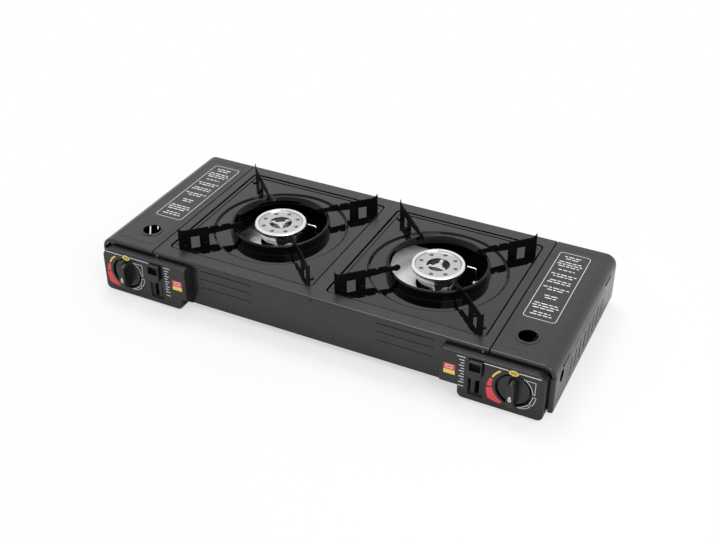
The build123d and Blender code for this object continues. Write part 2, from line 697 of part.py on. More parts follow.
def vent_band():
    """The pressed line round the slots."""
    rise = 2 * VENT_BAND_LINE
    outer = RectangleRounded(VENT_BAND_LENGTH, VENT_BAND_HEIGHT, VENT_BAND_R)
    inner = RectangleRounded(VENT_BAND_LENGTH - rise, VENT_BAND_HEIGHT - rise, VENT_BAND_R - VENT_BAND_LINE)
    return prism_x(Pos(0, SLOT_Z) * (outer - inner), HALF_W - VENT_BAND_DEPTH, HALF_W + SHEET)


def end_wall():
    """Right end wall with turned-in front, back and bottom flanges."""
    skin = end_skin()
    far = 2 * HEIGHT
    skin -= block(0, WIDTH, -DEPTH, DEPTH, HINGE_Z - HINGE_GAP, far)
    skin -= block(0, HALF_W - FRONT_RETURN, -DEPTH, -WALL_Y + EDGE_R, -far, far)
    skin -= block(0, HALF_W - BACK_RETURN, -WALL_Y, DEPTH, -far, far)
    for step in range(SLOT_COUNT):
        skin -= vent_slot((step - (SLOT_COUNT - 1) / 2) * SLOT_PITCH)
    skin -= vent_band()
    skin -= bar_x(END_HOLE_Y, END_HOLE_Z, HALF_W - 2 * SHEET, HALF_W + SHEET, END_HOLE_R)
    return with_knuckles(skin, knuckle_spans(0), knuckle_spans(1), -1)


def hinge_pins():
    """The two hinge pins of the right lid."""
    reach = KNUCKLES / 2 * KNUCKLE_LENGTH
    pins = [bar_y(HINGE_X, HINGE_Z, y - reach, y + reach, HINGE_PIN_R).solid() for y in (-HINGE_Y, HINGE_Y)]
    return Compound(pins)


def bay_wall():
    """Right wall between the cartridge bay and the burner, with a flange at its top and foot."""
    half_y = WALL_Y - BAY_WALL_END_GAP
    x1 = BAY_WALL_X + BAY_FLANGE
    wall = block(BAY_WALL_X, BAY_WALL_X + SHEET, -half_y, half_y, FLOOR_TOP, WELL_FLOOR_UNDER)
    wall += block(BAY_WALL_X, x1, -half_y, half_y, FLOOR_TOP, FLOOR_TOP + SHEET)
    wall += block(BAY_WALL_X, x1, -half_y, half_y, WELL_FLOOR_UNDER - SHEET, WELL_FLOOR_UNDER)
    x0, x2 = BAY_WALL_X - SHEET, BAY_WALL_X + 2 * SHEET
    wall -= bar_x(GAS_Y, AXIS_Z, x0, x2, TUBE_HOLE_R)
    return wall - bar_x(PIEZO_TERMINAL_Y, PIEZO_Z, x0, x2, LEAD_HOLE_R)


def cartridge_cradle():
    """Right trough for the cartridge: a bent sheet let into the floor, with flanges that lie on it."""
    ring = Circle(CRADLE_R + SHEET) - Circle(CRADLE_R)
    flange_z = FLOOR_TOP - AXIS_Z
    low = Pos(0, flange_z + SHEET - CRADLE_R) * Rectangle(4 * CRADLE_R, 2 * CRADLE_R)
    reach = CRADLE_MOUTH + CRADLE_FLANGE
    flange = Pos(0, flange_z + SHEET / 2) * Rectangle(2 * reach, SHEET)
    section = ring & low
    section += flange - Circle(CRADLE_R)
    return Pos(AXIS_X, 0, AXIS_Z) * prism_y(section, CRADLE_FRONT_Y, CRADLE_BACK_Y)


def rubber_feet():
    """Four round feet under the floor."""
    foot = post(0, 0, 0, FLOOR_Z, FOOT_R)
    foot = fillet(foot.edges().sort_by(Axis.Z)[0], FOOT_EDGE_R)
    places = [(x, y) for x in (-FOOT_X, FOOT_X) for y in (-FOOT_Y, FOOT_Y)]
    return Compound([(Pos(x, y, 0) * foot).solid() for x, y in places])


def casing_screws():
    """Screws that hold the rims of the top plate to the front and back walls."""
    screws = []
    for x, side in casing_screw_places():
        tip, rim = sorted((side * (HALF_D - CASING_SCREW_LENGTH), side * HALF_D))
        head = sorted((side * HALF_D, side * (HALF_D + CASING_SCREW_HEAD_H)))
        screw = bar_y(x, CASING_SCREW_Z, tip, rim, CASING_SCREW_R)
        screw += bar_y(x, CASING_SCREW_Z, *head, CASING_SCREW_HEAD_R)
        screws.append(screw.solid())
    return Compound(screws)


# Control panels


def panel_upper(inset, under_z):
    """Outline of the right panel above its skirt, in X and Z, moved in all round."""
    x0, x1 = PANEL_INNER_X + inset, PANEL_OUTER_X - inset
    top = PANEL_TOP_Z - inset
    face = make_face(Polyline((x0, under_z), (x0, top), (x1, top), (x1, under_z), close=True))
    face = corners(face, [(x1, top)], PANEL_OUTER_TOP_R - inset)
    face = corners(face, [(x1, under_z)], PANEL_CORNER_R)
    return corners(face, [(x0, top)], PANEL_INNER_TOP_R - inset)


def panel_skirt(inset, skirt_inset):
    """Outline of the lower part of the right panel, which starts further out."""
    x0, x1 = PANEL_INNER_X + skirt_inset + inset, PANEL_OUTER_X - inset
    low = PANEL_BOTTOM_Z + inset
    face = make_face(Polyline((x0, low), (x0, AXIS_Z), (x1, AXIS_Z), (x1, low), close=True))
    return corners(face, [(x0, low), (x1, low)], PANEL_CORNER_R - inset)


def panel_box(skirt_inset):
    """The hollow box of the right panel: an underside that rises to the front, and a skirt below it."""
    rise_z = GROUND_GAP + PANEL_UNDER_RISE
    box = prism_y(panel_upper(0, GROUND_GAP), PANEL_FRONT_Y, -WALL_Y)
    wedge = Polyline((PANEL_FRONT_Y, GROUND_GAP), (PANEL_FRONT_Y, rise_z), (-WALL_Y, GROUND_GAP), close=True)
    box -= prism_x(make_face(wedge), PANEL_INNER_X, PANEL_OUTER_X)
    box += prism_y(panel_skirt(0, skirt_inset), PANEL_FRONT_Y, -WALL_Y)
    box = fillet(box.faces().sort_by(Axis.Y)[0].edges(), PANEL_EDGE_R)
    hollow = panel_upper(PANEL_WALL, rise_z + PANEL_WALL) + panel_skirt(PANEL_WALL, skirt_inset)
    return box - prism_y(hollow, PANEL_BACK_OF_FACE_Y, -WALL_Y + PANEL_WALL)


def lever_slot_z():
    """Lowest and highest point of the slot that the lever's stem slides in."""
    return LEVER_STEM_BOTTOM_Z - LEVER_TRAVEL - LEVER_SLOT_PLAY, LEVER_STEM_TOP_Z + LEVER_SLOT_PLAY


def control_panel(skirt_inset):
    """Right moulded panel with the knob's well, the lever's channel, the stem hole and screw bosses."""
    panel = panel_box(skirt_inset)
    half = LEVER_WIDTH / 2 + LEVER_PLAY
    x0, x1 = LEVER_X - half, LEVER_X + half
    z1 = LEVER_TOP_Z + LEVER_PLAY
    pad_z0, pad_z1 = PANEL_BOTTOM_Z + PANEL_WALL, PANEL_TOP_Z - PANEL_WALL
    panel += block(x0 - PANEL_WALL, x1 + PANEL_WALL, PANEL_BACK_OF_FACE_Y, PAD_Y, pad_z0, pad_z1)
    panel += bar_y(AXIS_X, AXIS_Z, PANEL_BACK_OF_FACE_Y, KNOB_WELL_Y + PANEL_WALL, KNOB_WELL_R + PANEL_WALL)
    panel -= block(x0, x1, PANEL_FRONT_Y - PANEL_WALL, RECESS_Y, RECESS_BOTTOM_Z, z1)
    panel -= bar_y(AXIS_X, AXIS_Z, PANEL_FRONT_Y - PANEL_WALL, KNOB_WELL_Y, KNOB_WELL_R)
    slot_half = LEVER_STEM_WIDTH / 2 + LEVER_SLOT_PLAY
    slot_z0, slot_z1 = lever_slot_z()
    panel -= block(LEVER_STEM_X - slot_half, LEVER_STEM_X + slot_half, PANEL_FRONT_Y, 0, slot_z0, slot_z1)
    guide_x = x0 + GUIDE_INSET
    panel -= block(guide_x, guide_x + GUIDE_WIDTH, PANEL_FRONT_Y, 0, slot_z0, slot_z1)
    for x, z in panel_screw_places():
        panel += bar_y(x, z, PANEL_BACK_OF_FACE_Y, -WALL_Y, BOSS_R)
        panel -= bar_y(x, z, -WALL_Y - PANEL_SCREW_BITE, -WALL_Y, PANEL_SCREW_R + FIT_PLAY)
    return panel - bar_y(AXIS_X, AXIS_Z, PANEL_FRONT_Y - PANEL_WALL, 0, STEM_R + STEM_HOLE_PLAY)


def panel_screws():
    """Screws from inside the casing into the bosses of both panels."""
    screws = []
    inside = -WALL_Y + SHEET
    for side in (-1, 1):
        for x, z in panel_screw_places():
            screw = bar_y(side * x, z, -WALL_Y - PANEL_SCREW_BITE, inside, PANEL_SCREW_R)
            screw += bar_y(side * x, z, inside, inside + PANEL_SCREW_HEAD_H, PANEL_SCREW_HEAD_R)
            screws.append(screw.solid())
    return Compound(screws)


def knob():
    """Right knob: a disc with an upright tapered grip, and a socket for the stem."""
    disc = bar_y(AXIS_X, AXIS_Z, KNOB_FACE_Y, KNOB_BACK_Y, KNOB_R)
    disc = fillet(disc.edges().sort_by(Axis.Y)[0], KNOB_EDGE_R)
    half_length = KNOB_R - KNOB_GRIP_INSET
    outline = Rot(0, 0, 90) * SlotOverall(2 * half_length, KNOB_GRIP_WIDTH)
    foot_y = (KNOB_FACE_Y + KNOB_BACK_Y) / 2
    grip = extrude(Plane.XZ * outline, foot_y - KNOB_FRONT_Y, taper=KNOB_GRIP_TAPER)
    grip = fillet(grip.faces().sort_by(Axis.Y)[0].edges(), KNOB_EDGE_R)
    grip = Pos(AXIS_X, foot_y, AXIS_Z) * grip
    return disc + grip - bar_y(AXIS_X, AXIS_Z, STEM_FRONT_Y, KNOB_BACK_Y, STEM_R + FIT_PLAY)


def valve_stem():
    """The stem that the right knob turns."""
    return bar_y(AXIS_X, AXIS_Z, STEM_FRONT_Y, STEM_BACK_Y, STEM_R)


def lever_outline():
    """Front outline of the right lever's thumb piece, round at its foot."""
    half = LEVER_WIDTH / 2
    x0, x1 = LEVER_X - half, LEVER_X + half
    points = [(x0, LEVER_BOTTOM_Z), (x0, LEVER_TOP_Z), (x1, LEVER_TOP_Z), (x1, LEVER_BOTTOM_Z)]
    face = make_face(Polyline(*points, close=True))
    face = corners(face, points[1:3], LEVER_TOP_R)
    return corners(face, [points[0], points[3]], half - LEVER_TOP_R)


def lock_lever():
    """Right lock lever: a thumb piece with a pocket, its stem through the slot and a keeper behind."""
    back_y = RECESS_Y - LEVER_RUN_GAP
    front_y = PANEL_FRONT_Y - LEVER_PROUD
    thumb = prism_y(lever_outline(), front_y, back_y)
    thumb = fillet(thumb.faces().sort_by(Axis.Y)[0].edges(), LEVER_EDGE_R)
    reach = LEVER_WIDTH / 2 - LEVER_POCKET_RIM
    pocket_z = LEVER_TOP_Z - LEVER_POCKET_RIM
    thumb -= block(LEVER_X - reach, LEVER_X + reach, front_y, front_y + LEVER_POCKET_DEPTH,
                   pocket_z - LEVER_POCKET_HEIGHT, pocket_z)
    keeper_y = PAD_Y + LEVER_RUN_GAP
    stem_half = LEVER_STEM_WIDTH / 2
    keeper_half = stem_half + LEVER_PLATE_OVERLAP
    z0, z1 = LEVER_STEM_BOTTOM_Z, LEVER_STEM_TOP_Z
    thumb += block(LEVER_STEM_X - stem_half, LEVER_STEM_X + stem_half, back_y, keeper_y, z0, z1)
    x0, x1 = LEVER_STEM_X - keeper_half, LEVER_STEM_X + keeper_half
    return thumb + block(x0, x1, keeper_y, keeper_y + LEVER_PLATE, z0, z1)


# Gas path


def latch_rod_places():
    """X and Z of the two rods that guide the right latch."""
    reach, drop = LATCH_ROD_SIDE_SHARE * FLANGE_R, LATCH_ROD_DROP_SHARE * FLANGE_R
    return [(AXIS_X + side * reach, AXIS_Z - drop) for side in (-1, 1)]


def regulator():
    """Right regulator: valve body, diaphragm housing, cartridge flange with inlet, outlet and foot."""
    body = bar_y(AXIS_X, AXIS_Z, VALVE_FRONT_Y, FLANGE_Y, VALVE_R)
    flange_back = FLANGE_Y + FLANGE_SHEET
    body += bar_y(AXIS_X, AXIS_Z, FLANGE_Y, flange_back, FLANGE_R)
    body += bar_y(AXIS_X, AXIS_Z, flange_back, NOZZLE_END_Y, NOZZLE_R)
    housing_z = AXIS_Z + HOUSING_RISE
    body += bar_x(HOUSING_Y, housing_z, AXIS_X, AXIS_X + HOUSING_END, HOUSING_R / 2)
    body += bar_x(HOUSING_Y, housing_z, AXIS_X + HOUSING_START, AXIS_X + HOUSING_END, HOUSING_R)
    body += bar_x(GAS_Y, AXIS_Z, AXIS_X - OUTLET_REACH, AXIS_X, OUTLET_R)
    x0, x1 = AXIS_X - LUG_HALF_WIDTH, AXIS_X + LUG_HALF_WIDTH
    body += block(x0, x1, LUG_FRONT_Y, LUG_BACK_Y, FLOOR_TOP, AXIS_Z)
    body -= bar_y(AXIS_X, AXIS_Z, VALVE_FRONT_Y, STEM_BACK_Y, STEM_R + FIT_PLAY)
    body -= bar_y(AXIS_X, AXIS_Z, NOZZLE_END_Y - INLET_LENGTH, NOZZLE_END_Y, INLET_R)
    body -= bar_x(GAS_Y, AXIS_Z, AXIS_X - OUTLET_REACH, GAS_SOCKET_X, GAS_TUBE_R + FIT_PLAY)
    for x, z in latch_rod_places():
        body -= bar_y(x, z, FLANGE_Y - FLANGE_SHEET, flange_back, LATCH_ROD_R + LATCH_ROD_PLAY)
    return body


def cartridge_latch():
    """Right latch: a fork that draws the cartridge's collar to the inlet, on two guide rods."""
    x0, x1 = AXIS_X - LATCH_HALF_WIDTH, AXIS_X + LATCH_HALF_WIDTH
    fork = block(x0, x1, LATCH_Y, LATCH_Y + LATCH_SHEET, LATCH_BOTTOM_Z, LATCH_TOP_Z)
    fork -= bar_y(AXIS_X, AXIS_Z, LATCH_Y, LATCH_Y + LATCH_SHEET, LATCH_MOUTH_R)
    mouth0, mouth1 = AXIS_X - LATCH_MOUTH_R, AXIS_X + LATCH_MOUTH_R
    fork -= block(mouth0, mouth1, LATCH_Y, LATCH_Y + LATCH_SHEET, AXIS_Z, LATCH_TOP_Z)
    for x, z in latch_rod_places():
        fork += bar_y(x, z, LATCH_Y - LATCH_ROD_LENGTH, LATCH_Y, LATCH_ROD_R)
    return fork


def gas_tube():
    """Right gas tube from the regulator's outlet to the mixing tube, with its injector."""
    injector_y = -MIXING_REACH + INJECTOR_DEPTH - INJECTOR_LENGTH
    points = [(GAS_SOCKET_X, GAS_Y, AXIS_Z), (BURNER_X, GAS_Y, AXIS_Z), (BURNER_X, injector_y, AXIS_Z)]
    pipe = tube(points, GAS_BEND_R, GAS_TUBE_R)
    return pipe + bar_y(BURNER_X, AXIS_Z, injector_y, injector_y + INJECTOR_LENGTH, INJECTOR_R)


def piezo_igniter():
    """Right igniter on top of the valve body, with its lead terminal."""
    body = bar_y(AXIS_X, PIEZO_Z, VALVE_FRONT_Y, VALVE_FRONT_Y + PIEZO_LENGTH, PIEZO_R)
    terminal_x = AXIS_X - PIEZO_R - TERMINAL_LENGTH
    return body + bar_x(PIEZO_TERMINAL_Y, PIEZO_Z, terminal_x, AXIS_X, TERMINAL_R)


# Burners, drawn about the burner's own axis


def cup_profile(inset, bottom):
    """Half section of the burner cup; inset for its hollow."""
    top = CAP_BASE_Z
    return [
        (0, bottom),
        (CUP_FOOT_R - inset, bottom),
        (CUP_FOOT_R - inset, CUP_FOOT_Z),
        (CUP_WAIST_R - inset, CUP_WAIST_Z),
        (CUP_RIM_R - inset, top - CUP_RIM_H),
        (CUP_RIM_R - inset, top),
        (0, top),
    ]


def turned(points):
    """A solid of revolution from a half section in radius and Z."""
    return revolve(Plane.XZ * make_face(Polyline(*points, close=True)), Axis.Z)


def burner_body():
    """Cup and mixing tube, hollow throughout, with air ports round the injector."""
    body = turned(cup_profile(0, CUP_BOTTOM_Z))
    body += bar_y(0, AXIS_Z, -MIXING_REACH, 0, MIXING_R)
    body -= turned(cup_profile(CUP_WALL, CUP_BOTTOM_Z + CUP_WALL))
    body -= bar_y(0, AXIS_Z, -MIXING_REACH + MIXING_PLATE, 0, MIXING_BORE_R)
    plate_end = -MIXING_REACH + MIXING_PLATE
    body -= bar_y(0, AXIS_Z, -MIXING_REACH, plate_end, INJECTOR_R + FIT_PLAY)
    for step in range(AIR_PORTS):
        angle = radians(360 / AIR_PORTS * (step + 1 / 2))
        x, z = AIR_PORT_RING_R * cos(angle), AXIS_Z + AIR_PORT_RING_R * sin(angle)
        body -= bar_y(x, z, -MIXING_REACH, plate_end, AIR_PORT_R)
    return body


def spider_screw_places(turn):
    """X and Y of the screws in the middle of the cap."""
    angles = [radians(turn + 360 / SPIDER_ARMS * step) for step in range(SPIDER_ARMS)]
    return [(SPIDER_SCREW_RING_R * cos(a), SPIDER_SCREW_RING_R * sin(a)) for a in angles]


def burner_cap(turn):
    """Burner cap with raised rim, dimples, flame ports under the rim and a three-armed spider."""
    cap = turned([
        (CAP_HOLE_R, CAP_BASE_Z),
        (CAP_HOLE_R, CAP_FACE_Z),
        (CAP_R - CAP_RIM_WIDTH - CAP_BEVEL, CAP_FACE_Z),
        (CAP_R - CAP_RIM_WIDTH, CAP_TOP_Z),
        (CAP_R - CAP_BEVEL, CAP_TOP_Z),
        (CAP_R, CAP_TOP_Z - CAP_BEVEL),
        (CAP_R, CAP_BASE_Z + CAP_BEVEL),
        (CAP_R - CAP_BEVEL, CAP_BASE_Z),
    ])
    port = block(CUP_RIM_R - CUP_WALL, CAP_R + CAP_BEVEL, -CAP_PORT_WIDTH / 2, CAP_PORT_WIDTH / 2,
                 CAP_BASE_Z - CAP_PORT_H, CAP_BASE_Z + CAP_PORT_H)
    cap -= [Rot(0, 0, 360 / CAP_PORTS * step) * port for step in range(CAP_PORTS)]
    for step in range(CAP_DIMPLES):
        angle = radians(360 / CAP_DIMPLES * step)
        x, y = CAP_DIMPLE_RING_R * cos(angle), CAP_DIMPLE_RING_R * sin(angle)
        cap -= post(x, y, CAP_FACE_Z - CAP_DIMPLE_DEPTH, CAP_FACE_Z, CAP_DIMPLE_R)
    spider = post(0, 0, CAP_BASE_Z, SPIDER_TOP, SPIDER_HUB_R)
    half = SPIDER_ARM_WIDTH / 2
    arm = block(0, CAP_HOLE_R + CAP_BEVEL, -half, half, CAP_BASE_Z, SPIDER_TOP)
    for step in range(SPIDER_ARMS):
        spider += Rot(0, 0, turn + 360 / SPIDER_ARMS * step) * arm
    cap += spider
    for x, y in spider_screw_places(turn):
        cap -= post(x, y, CAP_BASE_Z, SPIDER_TOP, CAP_SCREW_R + FIT_PLAY)
    return cap


def cap_screws(turn):
    """The screws of a burner cap."""
    screws = []
    for x, y in spider_screw_places(turn):
        screw = post(x, y, SPIDER_TOP - CAP_SCREW_LENGTH, SPIDER_TOP, CAP_SCREW_R)
        screw += post(x, y, SPIDER_TOP, SPIDER_TOP + CAP_SCREW_HEAD_H, CAP_SCREW_HEAD_R)
        screws.append(screw.solid())
    return Compound(screws)


def burner_bracket():
    """Hat-shaped bracket under the burner, with a tab for the electrode."""
    half = BRACKET_HALF_WIDTH
    top = CUP_BOTTOM_Z
    low = FLOOR_TOP
    hat = block(-half, half, -BRACKET_HALF_DEPTH, BRACKET_HALF_DEPTH, top - BRACKET_SHEET, top)
    for side in (-1, 1):
        x0, x1 = sorted((side * half, side * (half - BRACKET_SHEET)))
        hat += block(x0, x1, -BRACKET_HALF_DEPTH, BRACKET_HALF_DEPTH, low, top)
        x0, x1 = sorted((side * half, side * (half + BRACKET_FOOT)))
        hat += block(x0, x1, -BRACKET_HALF_DEPTH, BRACKET_HALF_DEPTH, low, low + BRACKET_SHEET)
    tab_half = INSULATOR_R + BRACKET_SHEET
    y0, y1 = ELECTRODE_Y - tab_half, ELECTRODE_Y + tab_half
    return hat + block(0, ELECTRODE_X + tab_half, y0, y1, top - BRACKET_SHEET, top)


def electrode_tip_x():
    """How near the electrode comes to the cap's edge, at its own distance behind the middle."""
    return sqrt(CAP_R ** 2 - ELECTRODE_Y ** 2) + SPARK_GAP


def spark_electrode():
    """A thin rod up from its insulator and over to the edge of the cap."""
    up = (ELECTRODE_X, ELECTRODE_Y, INSULATOR_TOP_Z)
    bend = (ELECTRODE_X, ELECTRODE_Y, ELECTRODE_Z)
    tip = (electrode_tip_x(), ELECTRODE_Y, ELECTRODE_Z)
    return tube([up, bend, tip], ELECTRODE_BEND_R, ELECTRODE_R)


def electrode_insulator():
    """Ceramic body of the electrode with its lead terminal at the front."""
    body = post(ELECTRODE_X, ELECTRODE_Y, CUP_BOTTOM_Z, INSULATOR_TOP_Z, INSULATOR_R)
    return body + bar_y(ELECTRODE_X, TERMINAL_Z, ELECTRODE_Y - TERMINAL_LENGTH, ELECTRODE_Y, TERMINAL_R)


def heat_shield():
    """Bright plate on the -X side of the burner, hung from the well by its upright side."""
    x0 = -SHIELD_SIDE_X
    plate = block(x0, SHIELD_INNER_X, SHIELD_FRONT_Y, SHIELD_BACK_Y, SHIELD_Z, SHIELD_Z + SHEET)
    plate -= post(0, 0, SHIELD_Z - SHEET, SHIELD_Z + 2 * SHEET, SHIELD_HOLE_R)
    side = block(x0, x0 + SHEET, -SHIELD_SIDE_HALF_Y, SHIELD_SIDE_HALF_Y, SHIELD_Z, WELL_FLOOR_UNDER)
    return plate + side


def ignition_lead(points):
    """An insulated wire along a list of points."""
    return tube(points, LEAD_BEND_R, LEAD_R)


# Drip trays and pan arms, drawn about the burner's axis


def tray_outline(inset):
    """Outline of the tray, smaller than its well."""
    shrink = 2 * (TRAY_GAP + inset)
    return RectangleRounded(WELL_WIDTH - shrink, WELL_DEPTH - shrink, WELL_CORNER_R - TRAY_GAP)


def tray_ring():
    """Turned middle of the tray: a step down, a raised ring and a skirt inside it."""
    flat = WELL_FLOOR_TOP
    land = flat - TRAY_STEP_DROP
    top = land + RING_RISE
    section = folded(
        [
            (TRAY_STEP_R + TRAY_RIM_WIDTH, flat),
            (TRAY_STEP_R, flat),
            (TRAY_STEP_R - TRAY_STEP_DROP, land),
            (RING_FOOT_R, land),
            (RING_TOP_R, top),
            (RING_TOP_R - RING_LAND, top),
            (SKIRT_R, top - SKIRT_HEIGHT),
        ],
        TRAY_BEND_R, TRAY_SHEET, Side.RIGHT,
    )
    return revolve(Plane.XZ * section, Axis.Z)


def arm_foot_places():
    """Radius of the middle of each foot tab of a pan arm."""
    window_out = ARM_FOOT_R + ARM_WINDOW_WIDTH
    return [(ARM_STEP_R + ARM_FOOT_R) / 2, (window_out + ARM_OUT_R) / 2]


def rivet_places():
    """X and Y of every rivet of a tray."""
    side = (ARM_SHEET + FOOT_TAB_WIDTH) / 2
    spots = []
    for quarter in range(4):
        turn = radians(45 + 90 * quarter)
        for r in arm_foot_places():
            spots.append((r * cos(turn) - side * sin(turn), r * sin(turn) + side * cos(turn)))
    return spots


def drip_tray():
    """Pressed tray: raised border, flat, stepped ring round the burner and rivet holes."""
    low = WELL_FLOOR_TOP
    tray = prism_z(tray_outline(0), low + TRAY_RIM_RISE, TRAY_TOP + TRAY_RIM_RISE)
    tray -= prism_z(tray_outline(TRAY_RIM_WIDTH), low, TRAY_TOP + 2 * TRAY_RIM_RISE)
    wall = prism_z(tray_outline(TRAY_RIM_WIDTH - TRAY_SHEET), low, TRAY_TOP + TRAY_RIM_RISE)
    tray += wall - prism_z(tray_outline(TRAY_RIM_WIDTH), low, TRAY_TOP + 2 * TRAY_RIM_RISE)
    flat = prism_z(tray_outline(TRAY_RIM_WIDTH - TRAY_SHEET / 2), low, TRAY_TOP)
    tray += flat - post(0, 0, low - TRAY_SHEET, TRAY_TOP + TRAY_SHEET, TRAY_STEP_R + TRAY_RIM_WIDTH / 2)
    tray += tray_ring()
    for x, y in rivet_places():
        tray -= post(x, y, low - TRAY_SHEET, TRAY_TOP + TRAY_SHEET, RIVET_R + FIT_PLAY)
    return tray


def arm_face():
    """Outline of a pan arm in radius and height over the tray."""
    under = ARM_BAR_UNDER - TRAY_TOP
    horn_x = ARM_OUT_R - ARM_HORN_RUN
    outer = Polyline(
        (horn_x, ARM_TOP_H),
        (ARM_STEP_R, ARM_TOP_H),
        (ARM_STEP_R, ARM_BAR_H),
        (ARM_TIP_R, ARM_BAR_H),
        (ARM_TIP_R, under),
        (RING_FOOT_R, under),
        (ARM_STEP_R, under - ARM_BAR_FALL),
        (ARM_STEP_R, 0),
        (ARM_OUT_R, 0),
        (ARM_OUT_R, ARM_HORN_H),
    )
    dip = (ARM_OUT_R - ARM_HORN_RUN / 3, ARM_TOP_H + (ARM_HORN_H - ARM_TOP_H) / 4)
    horn = ThreePointArc((ARM_OUT_R, ARM_HORN_H), dip, (horn_x, ARM_TOP_H))
    face = make_face([outer, horn])
    tip_r = (ARM_BAR_H - under) / 2 - ARM_CORNER_R
    face = corners(face, [(ARM_TIP_R, under), (ARM_TIP_R, ARM_BAR_H)], tip_r)
    face += Pos(ARM_TIP_R + ARM_BULB_R, (ARM_BAR_H + under) / 2) * Circle(ARM_BULB_R)
    pitch = (ARM_STEP_R - ARM_TIP_R) / ARM_TEETH
    for step in range(1, ARM_TEETH):
        middle = ARM_TIP_R + pitch * (step + 1 / 2)
        tooth = RectangleRounded(pitch - ARM_TOOTH_GAP, 2 * ARM_TOOTH_H, ARM_TOOTH_H - ARM_CORNER_R)
        face += Pos(middle, ARM_BAR_H) * tooth
    window = Pos(ARM_FOOT_R + ARM_WINDOW_WIDTH / 2, 0) * Rectangle(ARM_WINDOW_WIDTH, 2 * ARM_WINDOW_H)
    return face - fillet(window.vertices(), ARM_CORNER_R)


def pan_arm():
    """One upright arm, along +X from the burner's axis, with a bent tab at each foot."""
    arm = prism_y(arm_face(), -ARM_SHEET / 2, ARM_SHEET / 2)
    y1 = ARM_SHEET / 2 + FOOT_TAB_WIDTH
    middle_y = (ARM_SHEET + FOOT_TAB_WIDTH) / 2
    for r in arm_foot_places():
        arm += block(r - FOOT_TAB_LENGTH / 2, r + FOOT_TAB_LENGTH / 2, 0, y1, 0, FOOT_TAB_SHEET)
        arm -= post(r, middle_y, -FOOT_TAB_SHEET, FOOT_TAB_SHEET, RIVET_R + FIT_PLAY)
    return Pos(0, 0, TRAY_TOP) * arm


def arm_rivets():
    """Rivets that hold the four arms of a tray."""
    head_z = TRAY_TOP + FOOT_TAB_SHEET
    rivets = []
    for x, y in rivet_places():
        rivet = post(x, y, WELL_FLOOR_TOP, head_z, RIVET_R)
        rivet += post(x, y, head_z, head_z + RIVET_HEAD_H, RIVET_HEAD_R)
        rivets.append(rivet.solid())
    return Compound(rivets)


# Lead routes: the left lead passes under its mixing tube


def lead_route(side):
    """Points of the ignition lead from the igniter of one side to that side's electrode."""
    start_x = side * (AXIS_X - PIEZO_R - TERMINAL_LENGTH)
    end_x = side * BURNER_X + ELECTRODE_X
    end_y = ELECTRODE_Y - TERMINAL_LENGTH
    start = [(start_x, PIEZO_TERMINAL_Y, PIEZO_Z), (side * LEAD_DROP_X, PIEZO_TERMINAL_Y, PIEZO_Z)]
    side_x = side * (BURNER_X + LEAD_SIDE)
    low_z = FLOOR_TOP + LEAD_LOW_GAP
    right_middle = [(side_x, LEAD_FRONT_Y, TERMINAL_Z)]
    left_middle = [(side_x, LEAD_FRONT_Y, low_z), (-BURNER_X + LEAD_CROSS, LEAD_FRONT_Y, low_z)]
    end = [(end_x, end_y - LEAD_END_RUN, TERMINAL_Z), (end_x, end_y, TERMINAL_Z)]
    return start + (right_middle if side > 0 else left_middle) + end


# Nodes

nodes = {
    "base_pan": base_pan(),
    "top_plate": top_plate(),
    "rubber_feet": rubber_feet(),
    "casing_screws": casing_screws(),
    "panel_screws": panel_screws(),
}
mirrored = {
    "end_wall": end_wall(),
    "lid": lid(),
    "lid_hinge_pins": hinge_pins(),
    "bay_wall": bay_wall(),
    "cartridge_cradle": cartridge_cradle(),
    "knob": knob(),
    "valve_stem": valve_stem(),
    "lock_lever": lock_lever(),
    "regulator": regulator(),
    "cartridge_latch": cartridge_latch(),
    "gas_tube": gas_tube(),
    "piezo_igniter": piezo_igniter(),
}
for name, shape in mirrored.items():
    nodes["right_" + name] = shape
    nodes["left_" + name] = other_side(shape)
nodes["right_control_panel"] = control_panel(RIGHT_SKIRT_INSET)
nodes["left_control_panel"] = other_side(control_panel(LEFT_SKIRT_INSET))
repeated = {
    "burner_body": burner_body(),
    "burner_bracket": burner_bracket(),
    "spark_electrode": spark_electrode(),
    "electrode_insulator": electrode_insulator(),
    "heat_shield": heat_shield(),
    "drip_tray": drip_tray(),
    "arm_rivets": arm_rivets(),
}
arm_names = ("back_right", "back_left", "front_left", "front_right")
for quarter, corner_name in enumerate(arm_names):
    repeated[corner_name + "_pan_arm"] = Rot(0, 0, 45 + 90 * quarter) * pan_arm()
for side_name, side, turn in (("left", -1, LEFT_SPIDER_TURN), ("right", 1, RIGHT_SPIDER_TURN)):
    place = Pos(side * BURNER_X, 0, 0)
    for name, shape in repeated.items():
        nodes[side_name + "_" + name] = place * shape
    nodes[side_name + "_burner_cap"] = place * burner_cap(turn)
    nodes[side_name + "_cap_screws"] = place * cap_screws(turn)
    nodes[side_name + "_ignition_lead"] = ignition_lead(lead_route(side))

os.makedirs("parts", exist_ok=True)
for name, shape in nodes.items():
    export_step(Pos(0, BODY_Y, 0) * shape, f"parts/{name}.step")
print(len(nodes), "nodes, casing moved back by", BODY_Y)
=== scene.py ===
"""Looks of the two-burner camping stove: finishes, printed marks, stage, lights and camera."""
import bmesh
import bpy
import json
from collections import namedtuple
from math import cos, degrees, pi, radians, sin
from mathutils import Matrix, Vector

